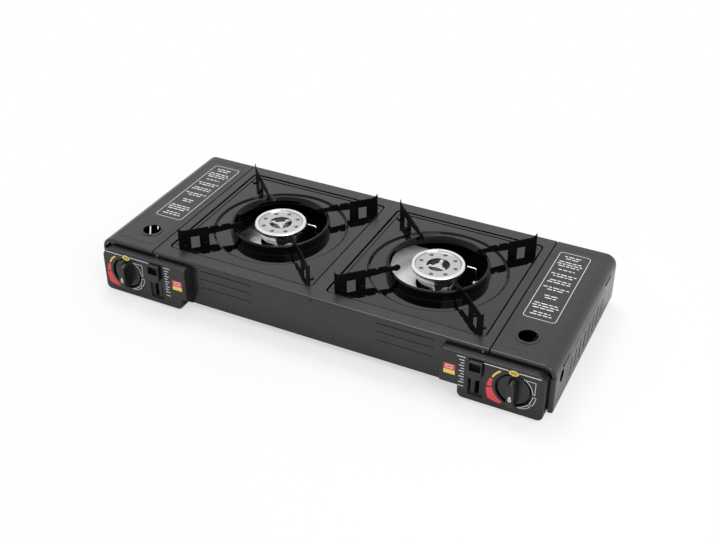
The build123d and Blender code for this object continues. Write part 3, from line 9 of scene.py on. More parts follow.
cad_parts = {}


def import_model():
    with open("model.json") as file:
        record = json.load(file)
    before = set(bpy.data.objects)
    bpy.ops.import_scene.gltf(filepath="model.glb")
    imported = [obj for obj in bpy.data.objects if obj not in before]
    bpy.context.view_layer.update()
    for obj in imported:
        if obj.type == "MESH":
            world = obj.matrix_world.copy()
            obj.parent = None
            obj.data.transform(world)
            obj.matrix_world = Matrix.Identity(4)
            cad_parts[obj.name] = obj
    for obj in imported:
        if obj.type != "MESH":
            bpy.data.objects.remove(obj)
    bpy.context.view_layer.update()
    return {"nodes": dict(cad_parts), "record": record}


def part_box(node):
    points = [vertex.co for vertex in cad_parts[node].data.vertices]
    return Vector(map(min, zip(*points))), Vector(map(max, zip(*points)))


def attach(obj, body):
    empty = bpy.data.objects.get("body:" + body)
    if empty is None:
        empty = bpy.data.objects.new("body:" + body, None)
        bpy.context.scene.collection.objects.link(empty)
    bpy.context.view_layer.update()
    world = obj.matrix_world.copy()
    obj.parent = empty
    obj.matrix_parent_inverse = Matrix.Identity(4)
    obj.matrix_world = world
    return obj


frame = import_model()

MM = 0.001
SIDES = {"left": -1, "right": 1}


def box_mm(node):
    """Lowest and highest corner of a node, in millimetres."""
    return [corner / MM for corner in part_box(node)]


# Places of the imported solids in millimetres; the right side stands for both

TOP_LOW, TOP_HIGH = box_mm("top_plate")
CAP_LOW, CAP_HIGH = box_mm("right_burner_cap")
KNOB_LOW, KNOB_HIGH = box_mm("right_knob")
BODY_Y = (TOP_LOW.y + TOP_HIGH.y) / 2
LID_Z = TOP_HIGH.z
BURNER_X = (CAP_LOW.x + CAP_HIGH.x) / 2
CAP_R = (CAP_HIGH.x - CAP_LOW.x) / 2
CUP_TOP_Z = CAP_LOW.z
KNOB_X = (KNOB_LOW.x + KNOB_HIGH.x) / 2
KNOB_Z = (KNOB_LOW.z + KNOB_HIGH.z) / 2
GRIP_Y = KNOB_LOW.y
PANEL_Y = box_mm("right_control_panel")[0].y


# Sizes used by the finishes, in millimetres unless they are shares

# Box round the gaps beside the trays and lids, below the casing's top face, where the casing is painted with
# shade
SEAM_MIDDLE_Z, SEAM_HALF_Z = 76.95, 2.4
SEAM_HALF_X, SEAM_HALF_Y = 250.0, 136.0
# Grey of the painted shade in those gaps
SEAM_SHADE_GREY = 0.001
# The trays' ring and pressed step, and how much of the shine they lose
RING_FOOT_R = 72.0
STEP_IN_R, STEP_OUT_R = 92.8, 96.8
RING_DULL, STEP_DULL = 0.72, 0.8
# The painted screws lie this near to the stove's middle
PAINTED_HALF_X = 60.0
# Painted shade in the cap's dimples and in the bore of the cup under it
DIMPLES, DIMPLE_RING_R = 8, 25.0
DIMPLE_SHADE_R, DIMPLE_SHADE_END_R, DIMPLE_SHADE_SHARE = 1.6, 4.2, 0.7
CUP_BORE_R, CUP_LIP = 20.0, 0.3
DIMPLE_SHADE_GREY, BORE_SHADE_GREY = 0.06, 0.05
# Brightness of the cap at shares of its radius; the dark dip where its open face meets the rim is painted
# shade
CAP_TONE_AND_SHADE = ((0.0, 0.8), (0.4, 0.7), (0.82, 0.66), (0.845, 0.4), (0.87, 0.95), (1.0, 1.0))
# Shine that a surface has where nothing dulls it
FULL_SHINE = 0.5
# A reach past every face of the stove, in metres
EVERYWHERE = 1.0


class Shader:
    """A material made of nodes, with short calls for the nodes used here."""

    def __init__(self, name):
        self.mat = bpy.data.materials.new(name)
        self.mat.use_nodes = True
        self.tree = self.mat.node_tree
        self.base = self.tree.nodes["Principled BSDF"]
        self.place = self.node("ShaderNodeTexCoord").outputs["Object"]

    def node(self, kind, **values):
        made = self.tree.nodes.new(kind)
        for key, value in values.items():
            if hasattr(made, key):
                setattr(made, key, value)
            else:
                made.inputs[key].default_value = value
        return made

    def link(self, source, target):
        self.tree.links.new(source, target)

    def feed(self, source, socket):
        """Link a value to a named input of the surface."""
        self.link(source, self.base.inputs[socket])

    def put(self, value, target):
        """Link a socket to an input, or set the input to a plain value."""
        if isinstance(value, bpy.types.NodeSocket):
            self.link(value, target)
        else:
            target.default_value = value

    def set(self, **values):
        for key, value in values.items():
            self.base.inputs[key.replace("_", " ")].default_value = value

    def noise(self, scale, detail, rough=0.5, stretch=None, vector=None):
        made = self.node("ShaderNodeTexNoise", Scale=scale, Detail=detail, Roughness=rough)
        source = vector or self.place
        if stretch:
            mapping = self.node("ShaderNodeMapping", Scale=stretch)
            self.link(source, mapping.inputs["Vector"])
            source = mapping.outputs["Vector"]
        self.link(source, made.inputs["Vector"])
        return made.outputs["Fac"]

    def spread(self, source, low, high, start=0.3, end=0.7):
        """A value between start and end spread from low to high."""
        made = self.node("ShaderNodeMapRange")
        for key, value in (("From Min", start), ("From Max", end), ("To Min", low), ("To Max", high)):
            made.inputs[key].default_value = value
        self.link(source, made.inputs["Value"])
        return made.outputs["Result"]

    def tint(self, source, low, high, start=0.3, end=0.7):
        """A value between start and end as a colour from low to high."""
        made = self.node("ShaderNodeValToRGB")
        for point, position, colour in zip(made.color_ramp.elements, (start, end), (low, high)):
            point.position = position
            point.color = (*colour, 1)
        self.link(source, made.inputs["Fac"])
        return made.outputs["Color"]

    def ramp(self, source, stops):
        """Greys along a value, from pairs of place and brightness."""
        made = self.node("ShaderNodeValToRGB")
        points = made.color_ramp.elements
        while len(points) < len(stops):
            points.new(1.0)
        for point, (position, value) in zip(points, stops):
            point.position = position
            point.color = (*grey(value), 1)
        self.link(source, made.inputs["Fac"])
        return made.outputs["Color"]

    def mix(self, share, first, second, blend="MIX"):
        """Two colours mixed by a share; each colour is a socket or three numbers."""
        made = self.node("ShaderNodeMix", data_type="RGBA", blend_type=blend)
        share_in, first_in, second_in = made.inputs[0], made.inputs[6], made.inputs[7]
        self.put(share, share_in)
        for colour, target in ((first, first_in), (second, second_in)):
            self.put((*colour, 1) if isinstance(colour, tuple) else colour, target)
        return made.outputs[2]

    def math(self, operation, *values):
        made = self.node("ShaderNodeMath", operation=operation)
        for value, target in zip(values, made.inputs):
            self.put(value, target)
        return made.outputs["Value"]

    def length(self, first, second):
        squares = [self.math("MULTIPLY", value, value) for value in (first, second)]
        return self.math("SQRT", self.math("ADD", *squares))

    def inside(self, centre, half):
        """One within a box of the part's own frame and nought outside it."""
        away = self.node("ShaderNodeVectorMath", operation="SUBTRACT")
        self.link(self.place, away.inputs[0])
        away.inputs[1].default_value = centre
        size = self.node("ShaderNodeVectorMath", operation="ABSOLUTE")
        self.link(away.outputs["Vector"], size.inputs[0])
        parts = self.node("ShaderNodeSeparateXYZ")
        self.link(size.outputs["Vector"], parts.inputs["Vector"])
        tests = [self.math("LESS_THAN", parts.outputs[axis], limit) for axis, limit in zip("XYZ", half)]
        return self.math("MULTIPLY", self.math("MULTIPLY", tests[0], tests[1]), tests[2])

    def about_burner(self):
        """Offsets from the nearer burner's axis, the distance from it and the height."""
        parts = self.node("ShaderNodeSeparateXYZ")
        self.link(self.place, parts.inputs["Vector"])
        ahead = self.math("SUBTRACT", self.math("ABSOLUTE", parts.outputs["X"]), BURNER_X * MM)
        beside = self.math("SUBTRACT", parts.outputs["Y"], BODY_Y * MM)
        return ahead, beside, self.length(ahead, beside), parts.outputs["Z"]

    def bump(self, source, strength, depth, soft_edge=0.0):
        """A fine skin of a depth in millimetres, over edges that look softened by a radius."""
        made = self.node("ShaderNodeBump", Strength=strength, Distance=depth * MM)
        self.link(source, made.inputs["Height"])
        if soft_edge:
            bevel = self.node("ShaderNodeBevel", samples=4, Radius=soft_edge * MM)
            self.link(bevel.outputs["Normal"], made.inputs["Normal"])
        self.feed(made.outputs["Normal"], "Normal")

    def gloss(self, rough, scale, detail):
        """Roughness that wanders between two values."""
        self.feed(self.spread(self.noise(scale, detail), *rough), "Roughness")

    def colour(self, source):
        self.feed(source, "Base Color")

    def coat(self, dark, light, rough, grain, depth, soft_edge):
        """Uneven gloss and a fine skin; gives back a cloudy colour."""
        self.gloss(rough, scale=60, detail=5)
        self.bump(self.noise(grain, detail=3), strength=0.35, depth=depth, soft_edge=soft_edge)
        return self.tint(self.noise(scale=34, detail=4), dark, light)

    def dull(self, mask):
        """Take the shine away by a mask."""
        self.feed(self.spread(mask, FULL_SHINE, 0.0, 0.0, 1.0), "Specular IOR Level")


def grey(value):
    return (value, value, value)


# Makers of the finishes


def coated(name, dark, light, ior=1.5, shine=FULL_SHINE, **skin):
    """Paint, enamel, ceramic, rubber or moulded plastic."""
    sh = Shader(name)
    sh.colour(sh.coat(dark, light, **skin))
    sh.set(IOR=ior, Specular_IOR_Level=shine)
    return sh.mat


def casing_coat(name, dark, light, ior, **skin):
    """The casing's coat, with painted shade making the gaps round the trays and beside the lids dark and
    dull.
    """
    sh = Shader(name)
    middle = (0, BODY_Y * MM, SEAM_MIDDLE_Z * MM)
    # Painted shade: the casing turns near black and loses its shine in the box round the gaps beside the
    # trays and lids
    gap_shade = sh.inside(middle, (SEAM_HALF_X * MM, SEAM_HALF_Y * MM, SEAM_HALF_Z * MM))
    sh.colour(sh.mix(gap_shade, sh.coat(dark, light, **skin), grey(SEAM_SHADE_GREY)))
    sh.dull(gap_shade)
    sh.set(IOR=ior)
    return sh.mat


def tray_coat(name, dark, light, ior, **skin):
    """The trays' enamel: glossy on the flats, burnt dull on the ring and in the pressed step."""
    sh = Shader(name)
    radius = sh.about_burner()[2]
    ring = sh.math("LESS_THAN", radius, RING_FOOT_R * MM)
    past_land = sh.math("GREATER_THAN", radius, STEP_IN_R * MM)
    step = sh.math("MULTIPLY", past_land, sh.math("LESS_THAN", radius, STEP_OUT_R * MM))
    sh.colour(sh.coat(dark, light, **skin))
    sh.dull(sh.math("ADD", sh.math("MULTIPLY", ring, RING_DULL), sh.math("MULTIPLY", step, STEP_DULL)))
    sh.set(IOR=ior)
    return sh.mat


def screw_coat(name, bright, painted, rough):
    """Bright screws, but painted over where they hold the middle of the casing."""
    sh = Shader(name)
    middle = sh.inside((0, BODY_Y * MM, 0), (PAINTED_HALF_X * MM, EVERYWHERE, EVERYWHERE))
    sh.colour(sh.mix(middle, bright, painted))
    sh.gloss(rough, scale=120, detail=4)
    sh.feed(sh.spread(middle, 1.0, 0.0, 0.0, 1.0), "Metallic")
    return sh.mat


def brushed(name, dark, light, rough, soft_edge):
    """Steel with fine rings brushed about each burner's axis, and painted shade in its hollows and where the
    cap's face meets its rim.
    """
    sh = Shader(name)
    ahead, beside, radius, height = sh.about_burner()
    rings = sh.node("ShaderNodeCombineXYZ")
    sh.link(radius, rings.inputs["X"])
    sh.link(height, rings.inputs["Z"])
    lines = sh.noise(scale=2600, detail=3, rough=0.6, vector=rings.outputs["Vector"])
    # Brightness across the cap, with painted shade where its face meets the rim
    cap_tone_and_shade = sh.ramp(sh.spread(radius, 0.0, 1.0, 0.0, CAP_R * MM), CAP_TONE_AND_SHADE)
    steel = sh.mix(1.0, sh.tint(lines, dark, light), cap_tone_and_shade, "MULTIPLY")

    pitch = 2 * pi / DIMPLES
    turn = sh.math("MULTIPLY", sh.math("ARCTAN2", beside, ahead), 1 / pitch)
    off_turn = sh.math("SUBTRACT", turn, sh.math("ROUND", turn))
    off_arc = sh.math("MULTIPLY", off_turn, pitch * DIMPLE_RING_R * MM)
    off_ring = sh.math("SUBTRACT", radius, DIMPLE_RING_R * MM)
    apart = sh.length(off_arc, off_ring)
    # Painted shade: dark spots in the cap's dimples
    dimple_shade = sh.spread(apart, DIMPLE_SHADE_SHARE, 0.0, DIMPLE_SHADE_R * MM, DIMPLE_SHADE_END_R * MM)
    steel = sh.mix(dimple_shade, steel, grey(DIMPLE_SHADE_GREY))

    # Painted shade in the bore of the cup below the cap
    in_bore = sh.math("LESS_THAN", radius, CUP_BORE_R * MM)
    below_cap = sh.math("LESS_THAN", height, (CUP_TOP_Z - CUP_LIP) * MM)
    sh.colour(sh.mix(sh.math("MULTIPLY", in_bore, below_cap), steel, grey(BORE_SHADE_GREY)))
    sh.gloss(rough, scale=120, detail=4)
    sh.bump(lines, strength=0.12, depth=0.04, soft_edge=soft_edge)
    sh.set(Metallic=1.0)
    return sh.mat


def metal(name, dark, light, rough, grain, stretch=None):
    """Bare metal with faint streaks."""
    sh = Shader(name)
    sh.colour(sh.tint(sh.noise(grain, detail=4, rough=0.6, stretch=stretch), dark, light))
    sh.gloss(rough, scale=90, detail=4)
    sh.bump(sh.noise(grain * 3, detail=2, stretch=stretch), strength=0.15, depth=0.05, soft_edge=0.2)
    sh.set(Metallic=1.0)
    return sh.mat


def spangled(name, dark, light, rough, metallic):
    """Galvanised sheet: crystals of slightly different brightness."""
    sh = Shader(name)
    cells = sh.node("ShaderNodeTexVoronoi", Scale=110)
    sh.link(sh.place, cells.inputs["Vector"])
    sh.colour(sh.tint(cells.outputs["Color"], dark, light, start=0.1, end=0.9))
    sh.gloss(rough, scale=45, detail=4)
    sh.bump(sh.noise(scale=300, detail=2), strength=0.1, depth=0.04, soft_edge=0.2)
    sh.set(Metallic=metallic)
    return sh.mat


def printed(name, dark, light):
    """Ink or a thin sticker, a little uneven."""
    sh = Shader(name)
    sh.colour(sh.tint(sh.noise(scale=900, detail=3), dark, light, start=0.2, end=0.6))
    sh.gloss((0.42, 0.58), scale=400, detail=2)
    sh.bump(sh.noise(scale=2500, detail=2), strength=0.2, depth=0.03)
    return sh.mat


# The finishes: by material slot, by the end of a node's name where it has its own, and the inks

ENAMEL_SKIN = {"grain": 220, "depth": 0.01, "soft_edge": 0.4}
ENAMEL = {"dark": grey(0.0004), "light": grey(0.0012), "rough": (0.03, 0.06), "ior": 1.58, **ENAMEL_SKIN}
MATERIALS = {
    "casing_paint": casing_coat(
        "casing_paint", grey(0.01), grey(0.014), ior=1.52, rough=(0.22, 0.3), grain=2600, depth=0.04,
        soft_edge=0.5),
    "black_enamel": coated("black_enamel", **ENAMEL),
    "panel_plastic": coated(
        "panel_plastic", grey(0.008), grey(0.011), rough=(0.38, 0.46), grain=3400, depth=0.06, soft_edge=0.6),
    "knob_plastic": coated(
        "knob_plastic", grey(0.003), grey(0.005), rough=(0.3, 0.38), grain=3000, depth=0.05, soft_edge=0.6),
    "burner_steel": brushed("burner_steel", grey(0.68), grey(0.86), rough=(0.2, 0.3), soft_edge=0.4),
    "bright_plate": spangled("bright_plate", grey(0.62), grey(0.8), rough=(0.16, 0.3), metallic=1.0),
    "brass_fitting": metal(
        "brass_fitting", (0.58, 0.4, 0.17), (0.72, 0.53, 0.26), rough=(0.22, 0.34), grain=300),
    "gas_pipe": metal("gas_pipe", grey(0.55), grey(0.68), rough=(0.25, 0.36), grain=260, stretch=(1, 8, 8)),
    "screw_steel": metal("screw_steel", grey(0.6), grey(0.76), rough=(0.15, 0.26), grain=700),
    "white_insulator": coated(
        "white_insulator", (0.72, 0.7, 0.66), (0.8, 0.79, 0.75), rough=(0.15, 0.25), grain=500, depth=0.02,
        soft_edge=0.4),
    "lead_sleeve": coated(
        "lead_sleeve", (0.26, 0.02, 0.015), (0.34, 0.03, 0.02), rough=(0.4, 0.5), grain=900, depth=0.04,
        soft_edge=0.2),
    "foot_rubber": coated(
        "foot_rubber", grey(0.012), grey(0.02), rough=(0.65, 0.8), grain=1500, depth=0.08, soft_edge=0.6),
}
OWN_FINISH = {
    "casing_screws": screw_coat("casing_screw", bright=grey(0.75), painted=grey(0.006), rough=(0.2, 0.3)),
    "drip_tray": tray_coat("tray_enamel", **ENAMEL),
    "pan_arm": coated("arm_enamel", grey(0.0025), grey(0.004), shine=0.08, rough=(0.35, 0.5), **ENAMEL_SKIN),
    # Painted light: the right heat shield is a lit copy of the galvanised plate, painted much paler than the
    # plain bright_plate finish
    "right_heat_shield": spangled("lit_shield_plate", grey(0.9), grey(0.98), rough=(0.4, 0.55), metallic=0.0),
}
INK_WHITE = printed("ink_white", grey(0.7), grey(0.82))
INK_YELLOW = printed("ink_yellow", (0.76, 0.56, 0.08), (0.88, 0.68, 0.14))
INK_RED = printed("ink_red", (0.66, 0.035, 0.05), (0.8, 0.07, 0.09))
INK_BLACK = printed("ink_black", grey(0.012), grey(0.02))

for part in frame["record"]["subparts"]:
    mesh = frame["nodes"][part["node"]].data
    mesh.materials.clear()
    own = [finish for ending, finish in OWN_FINISH.items() if part["node"].endswith(ending)]
    mesh.materials.append(own[0] if own else MATERIALS[part["material_slot"]])


# Sizes of the printed marks in millimetres; X counts from the stove's middle to either side

# Thickness of the ink
INK = 0.06
# White line along the top of a panel, with a gap for the badge
LINE_INNER, LINE_OUTER = 246.5, 319.5
LINE_LOW, LINE_HIGH = 67.7, 68.8
# Yellow badge with dark bars
BADGE_X, BADGE_Z = KNOB_X - 1.0, 66.1
BADGE_WIDE, BADGE_HIGH, BADGE_GAP = 12.8, 8.2, 6.7
BADGE_BARS, BADGE_BAR_PITCH, BADGE_BAR_HALF = (-1, 0, 1), 2.6, 0.7
BADGE_BAR_LOW, BADGE_BAR_HIGH = 64.4, 67.8
# Scale beside the lever
SCALE_X, SCALE_LINE = 221.5, 1.0
SCALE_TOP_Z, SCALE_TOP_IN, SCALE_TOP_OUT = 67.8, 10.0, 1.0
SCALE_FOOT_Z = 22.6
TICKS, TICK_FIRST_Z, TICK_PITCH, TICK_LINE = 9, 28.5, 4.3, 1.1
TICK_LONG, TICK_SHORT = 7.0, 4.5
# Sticker: a red field with a white-rimmed window over a yellow field
STICKER_INNER, STICKER_OUTER = 194.3, 209.5
YELLOW_LOW, YELLOW_HIGH = 36.5, 42.8
RED_LOW, RED_HIGH = 43.2, 52.0
WINDOW_INNER, WINDOW_OUTER, WINDOW_LOW, WINDOW_HIGH = 197.0, 206.0, 45.0, 50.2
WINDOW_RIM, WINDOW_CORNER_R = 1.0, 0.1
# Dial: bands between clock degrees, with inner and outer radii at their start, middle and end
Band = namedtuple("Band", "start end inner outer")


def even(radius):
    return (radius, radius, radius)


DIAL_SHIFT, DIAL_Z = -1.5, KNOB_Z + 0.5
DIAL_LINE = 0.65
DIAL_FRAMES = (
    Band(95, 123, even(24.6), even(29.5)),
    Band(130, 164, even(25.0), (29.5, 28.6, 26.2)),
)
DIAL_YELLOW = Band(293, 325, even(27.0), even(29.4))
DIAL_REDS = (
    Band(262, 287, even(26.2), (33.0, 31.6, 30.0)),
    Band(207, 258, even(26.2), (30.0, 38.0, 34.0)),
)
# Outline of the widest setting: its arc, and the edges of the square corner outside it
CORNER_START, CORNER_END, CORNER_R = 30, 86, 24.4
CORNER_LEFT, CORNER_WIDE, CORNER_TOP = 12.2, 27.6, 20.7
CORNER_FOOT, CORNER_FOOT_LEFT = 2.3, 24.5
# Drop on the knob's grip, with a red core
DROP_BELOW, DROP_WIDE, DROP_HIGH = 4.0, 5.6, 8.6
CORE_BELOW, CORE_WIDE, CORE_HIGH = 4.5, 2.8, 4.8
DROP_TIP = 0.35
# Frame on a lid, and its groups of rows: the top of the first row and each row's length
LABEL_INNER, LABEL_OUTER, LABEL_FRONT, LABEL_BACK = 260.0, 304.0, -52.0, 112.0
LABEL_CORNER_R, LABEL_LINE = 5.0, 0.8
LABEL_GROUPS = (
    (104, (26, 20)), (90, (34, 36, 30)), (70, (24,)), (58, (36, 28)), (42, (30, 34)), (24, (36, 22)),
    (4, (20, 16)), (-16, (34, 36, 32)), (-36, (24, 30)),
)
ROW_PITCH, ROW_HIGH = 5.2, 1.9
DASH_SHORT, DASH_STRIDE, DASH_SPREAD, DASH_GAP, DASH_TRIM = 3.0, 3, 7, 1.8, 1.2


# Faces that carry marks: each gives a mark's point and the ink's thickness, in metres


def front_face(y):
    def place(x, z):
        return Vector((x, y, z)) * MM, Vector((0, -INK, 0)) * MM

    return place


def on_lid(x, y):
    return Vector((x, y + BODY_Y, LID_Z)) * MM, Vector((0, 0, INK)) * MM


on_panel = front_face(PANEL_Y)
on_badge = front_face(PANEL_Y - INK)
on_grip = front_face(GRIP_Y)


def print_marks(name, cells, place, ink, body, slot):
    """A layer of ink made of flat cells, each a closed outline of points."""
    mesh = bmesh.new()
    for cell in cells:
        low, high = [], []
        for point in cell:
            spot, lift = place(*point)
            low.append(mesh.verts.new(spot))
            high.append(mesh.verts.new(spot + lift))
        mesh.faces.new(high)
        for step in range(len(cell)):
            after = (step + 1) % len(cell)
            mesh.faces.new((low[step], low[after], high[after], high[step]))
    bmesh.ops.recalc_face_normals(mesh, faces=mesh.faces)
    data = bpy.data.meshes.new(name)
    mesh.to_mesh(data)
    mesh.free()
    data.materials.append(ink)
    made = bpy.data.objects.new(name, data)
    bpy.context.collection.objects.link(made)
    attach(made, body)


# Plain shapes


def bar(x0, x1, z0, z1):
    return [(x0, z0), (x1, z0), (x1, z1), (x0, z1)]


def span(side, inner, outer, z0, z1):
    """A bar between two distances from the stove's middle, on one side of it."""
    x0, x1 = sorted((side * inner, side * outer))
    return bar(x0, x1, z0, z1)


def ring_of(outer, inner):
    """Cells between two closed outlines with the same number of points."""
    count = len(outer)
    return [[outer[i], outer[(i + 1) % count], inner[(i + 1) % count], inner[i]] for i in range(count)]


def rounded(x0, x1, z0, z1, radius, steps=6):
    """Points of a rectangle with round corners."""
    corners = ((x1 - radius, z1 - radius, 0), (x0 + radius, z1 - radius, 90),
               (x0 + radius, z0 + radius, 180), (x1 - radius, z0 + radius, 270))
    points = []
    for x, z, start in corners:
        for step in range(steps + 1):
            angle = radians(start + 90 * step / steps)
            points.append((x + radius * cos(angle), z + radius * sin(angle)))
    return points


def frame_line(x0, x1, z0, z1, radius, width):
    """A line round the inside of a rectangle with round corners."""
    inner = rounded(x0 + width, x1 - width, z0 + width, z1 - width, radius - width)
    return ring_of(rounded(x0, x1, z0, z1, radius), inner)


def oval(x, z, wide, high, steps=40):
    turns = [2 * pi * step / steps for step in range(steps)]
    return [(x + wide / 2 * cos(t), z + high / 2 * sin(t)) for t in turns]


def droplet(x, z, wide, high, steps=28):
    """A drop with its tip up."""
    points = []
    for step in range(steps):
        t = 2 * pi * step / steps
        swell = DROP_TIP + (1 - DROP_TIP) * (1 - cos(t)) / 2
        points.append((x + wide / 2 * sin(t) * swell, z + high / 2 * cos(t)))
    return points


# Shapes of the dial, seen from the front


def dial_point(x, angle, radius):
    """A point at clock degrees from the top."""
    return (x + radius * sin(radians(angle)), DIAL_Z + radius * cos(radians(angle)))


def along(radii, share):
    """A radius at a share of a band's length, from those at its start, middle and end."""
    low, mid, high = radii
    return low + (mid - low) * 2 * share if share < 0.5 else mid + (high - mid) * (2 * share - 1)


def dial_band(x, band, steps=16):
    """Cells of a curved band."""
    cuts = []
    for step in range(steps + 1):
        share = step / steps
        angle = band.start + (band.end - band.start) * share
        cuts.append([dial_point(x, angle, along(radii, share)) for radii in (band.inner, band.outer)])
    return [[a[0], b[0], b[1], a[1]] for a, b in zip(cuts, cuts[1:])]


def dial_frame(x, band):
    """The outline of a curved band."""
    cells = dial_band(x, band._replace(outer=[radius + DIAL_LINE for radius in band.inner]))
    cells += dial_band(x, band._replace(inner=[radius - DIAL_LINE for radius in band.outer]))
    for angle, end in ((band.start, 0), (band.end, -1)):
        low, high = band.inner[end], band.outer[end]
        half = degrees(DIAL_LINE / (low + high))
        cells += dial_band(x, Band(angle - half, angle + half, even(low), even(high)), steps=2)
    return cells


def dial_corner(x):
    """The outline of the widest setting: an arc with a square corner outside it."""
    right, top, foot = x + CORNER_WIDE, DIAL_Z + CORNER_TOP, DIAL_Z + CORNER_FOOT
    cells = dial_band(x, Band(CORNER_START, CORNER_END, even(CORNER_R), even(CORNER_R + DIAL_LINE)))
    cells.append(bar(x + CORNER_LEFT, right, top - DIAL_LINE, top))
    cells.append(bar(right - DIAL_LINE, right, foot, top - DIAL_LINE))
    cells.append(bar(x + CORNER_FOOT_LEFT, right, foot - DIAL_LINE, foot))
    return cells


# Marks of one side


def window(side, inset=0.0):
    """Edges of the sticker's window, moved in by an inset."""
    x0, x1 = sorted((side * WINDOW_INNER, side * WINDOW_OUTER))
    return x0 + inset, x1 - inset, WINDOW_LOW + inset, WINDOW_HIGH - inset


def white_marks(side):
    """Line, scale and the outlined settings of the dial."""
    cells = [
        span(side, LINE_INNER, BADGE_X - BADGE_GAP, LINE_LOW, LINE_HIGH),
        span(side, BADGE_X + BADGE_GAP, LINE_OUTER, LINE_LOW, LINE_HIGH),
        span(side, SCALE_X - SCALE_TOP_IN, SCALE_X + SCALE_TOP_OUT, SCALE_TOP_Z, SCALE_TOP_Z + SCALE_LINE),
        span(side, SCALE_X - TICK_LONG, SCALE_X, SCALE_FOOT_Z, SCALE_FOOT_Z + SCALE_LINE),
    ]
    for tick in range(TICKS):
        reach = TICK_SHORT if tick % 2 else TICK_LONG
        z = TICK_FIRST_Z + TICK_PITCH * tick
        cells.append(span(side, SCALE_X - reach, SCALE_X, z, z + TICK_LINE))
    cells += dial_corner(side * KNOB_X)
    for band in DIAL_FRAMES:
        cells += dial_frame(side * KNOB_X, band)
    return cells


def yellow_marks(side):
    """Badge, lower field of the sticker and the dial's first band."""
    cells = [oval(side * BADGE_X, BADGE_Z, BADGE_WIDE, BADGE_HIGH)]
    cells.append(span(side, STICKER_INNER, STICKER_OUTER, YELLOW_LOW, YELLOW_HIGH))
    return cells + dial_band(side * KNOB_X + DIAL_SHIFT, DIAL_YELLOW)


def red_marks(side):
    """The dial's other bands, and the sticker's upper field round and inside its window."""
    cells = []
    for band in DIAL_REDS:
        cells += dial_band(side * KNOB_X + DIAL_SHIFT, band)
    cells += [
        span(side, STICKER_INNER, WINDOW_INNER, RED_LOW, RED_HIGH),
        span(side, WINDOW_OUTER, STICKER_OUTER, RED_LOW, RED_HIGH),
        span(side, WINDOW_INNER, WINDOW_OUTER, RED_LOW, WINDOW_LOW),
        span(side, WINDOW_INNER, WINDOW_OUTER, WINDOW_HIGH, RED_HIGH),
        bar(*window(side, WINDOW_RIM)),
    ]
    return cells


def badge_bars(side):
    middles = [side * BADGE_X + BADGE_BAR_PITCH * step for step in BADGE_BARS]
    return [bar(x - BADGE_BAR_HALF, x + BADGE_BAR_HALF, BADGE_BAR_LOW, BADGE_BAR_HIGH) for x in middles]


def label_row(x, top, length):
    """Plain dashes of uneven length along one row, centred on x."""
    cells = []
    start = x - length / 2
    while length > DASH_SHORT:
        run = min(DASH_SHORT + length * DASH_STRIDE % DASH_SPREAD, length - DASH_TRIM)
        cells.append(bar(start, start + run, top - ROW_HIGH, top))
        start += run + DASH_GAP
        length -= run + DASH_GAP
    return cells


def label_marks(side):
    """A frame on a lid with groups of plain dashes inside it."""
    x0, x1 = sorted((side * LABEL_INNER, side * LABEL_OUTER))
    cells = frame_line(x0, x1, LABEL_FRONT, LABEL_BACK, LABEL_CORNER_R, LABEL_LINE)
    for top, lengths in LABEL_GROUPS:
        for row, length in enumerate(lengths):
            cells += label_row((x0 + x1) / 2, top - ROW_PITCH * row, length)
    return cells


def print_side(name, side):
    """All marks of one panel, its knob and its lid."""
    panel = ("casing", "panel_plastic")
    knob = (f"{name}_knob", "knob_plastic")
    print_marks(f"{name}_panel_white_marks", white_marks(side), on_panel, INK_WHITE, *panel)
    print_marks(f"{name}_panel_yellow_marks", yellow_marks(side), on_panel, INK_YELLOW, *panel)
    print_marks(f"{name}_panel_red_marks", red_marks(side), on_panel, INK_RED, *panel)
    outer = rounded(*window(side), WINDOW_CORNER_R)
    rim = ring_of(outer, rounded(*window(side, WINDOW_RIM), WINDOW_CORNER_R))
    print_marks(f"{name}_sticker_rim", rim, on_panel, INK_WHITE, *panel)
    print_marks(f"{name}_badge_bars", badge_bars(side), on_badge, INK_BLACK, *panel)
    drop = droplet(side * KNOB_X, KNOB_Z - DROP_BELOW, DROP_WIDE, DROP_HIGH)
    core = droplet(side * KNOB_X, KNOB_Z - CORE_BELOW, CORE_WIDE, CORE_HIGH)
    print_marks(f"{name}_knob_drop", ring_of(drop, core), on_grip, INK_WHITE, *knob)
    print_marks(f"{name}_knob_drop_core", [core], on_grip, INK_RED, *knob)
    print_marks(f"{name}_lid_label", label_marks(side), on_lid, INK_WHITE, f"{name}_lid", "casing_paint")


for side_name, side in SIDES.items():
    print_side(side_name, side)


# Stage, lights and camera, in metres, watts and degrees

FLOOR_SIZE, FLOOR_CELLS = 9, 8
# How white the floor is to the eye and in reflections, near the stove and farther out
EYE_WHITE, EYE_FADE = (0.6, 1.0), (0.25, 0.65)
MIRROR_WHITE, MIRROR_FADE = (0.0, 0.9), (0.4, 1.1)
# Strength of the world as a light, and as it is seen
WORLD_LIGHT, WORLD_SEEN = 0.52, 1.0
LAMP_AIM = (0, 0, 0.05)
# The photograph's camera, solved from the straight edges of the stove's top
PHOTO_WIDTH, FOCAL_PIXELS, SENSOR_WIDTH = 716, 1082.829, 36
SHIFT_X_PIXELS, SHIFT_Y_PIXELS = -21.589, -48.388
AZIMUTH, ELEVATION, ROLL = 25.267, 31.615, 0.473
VIEW_TARGET, VIEW_DISTANCE = (0, 0.0853, 0.08), 1.567055


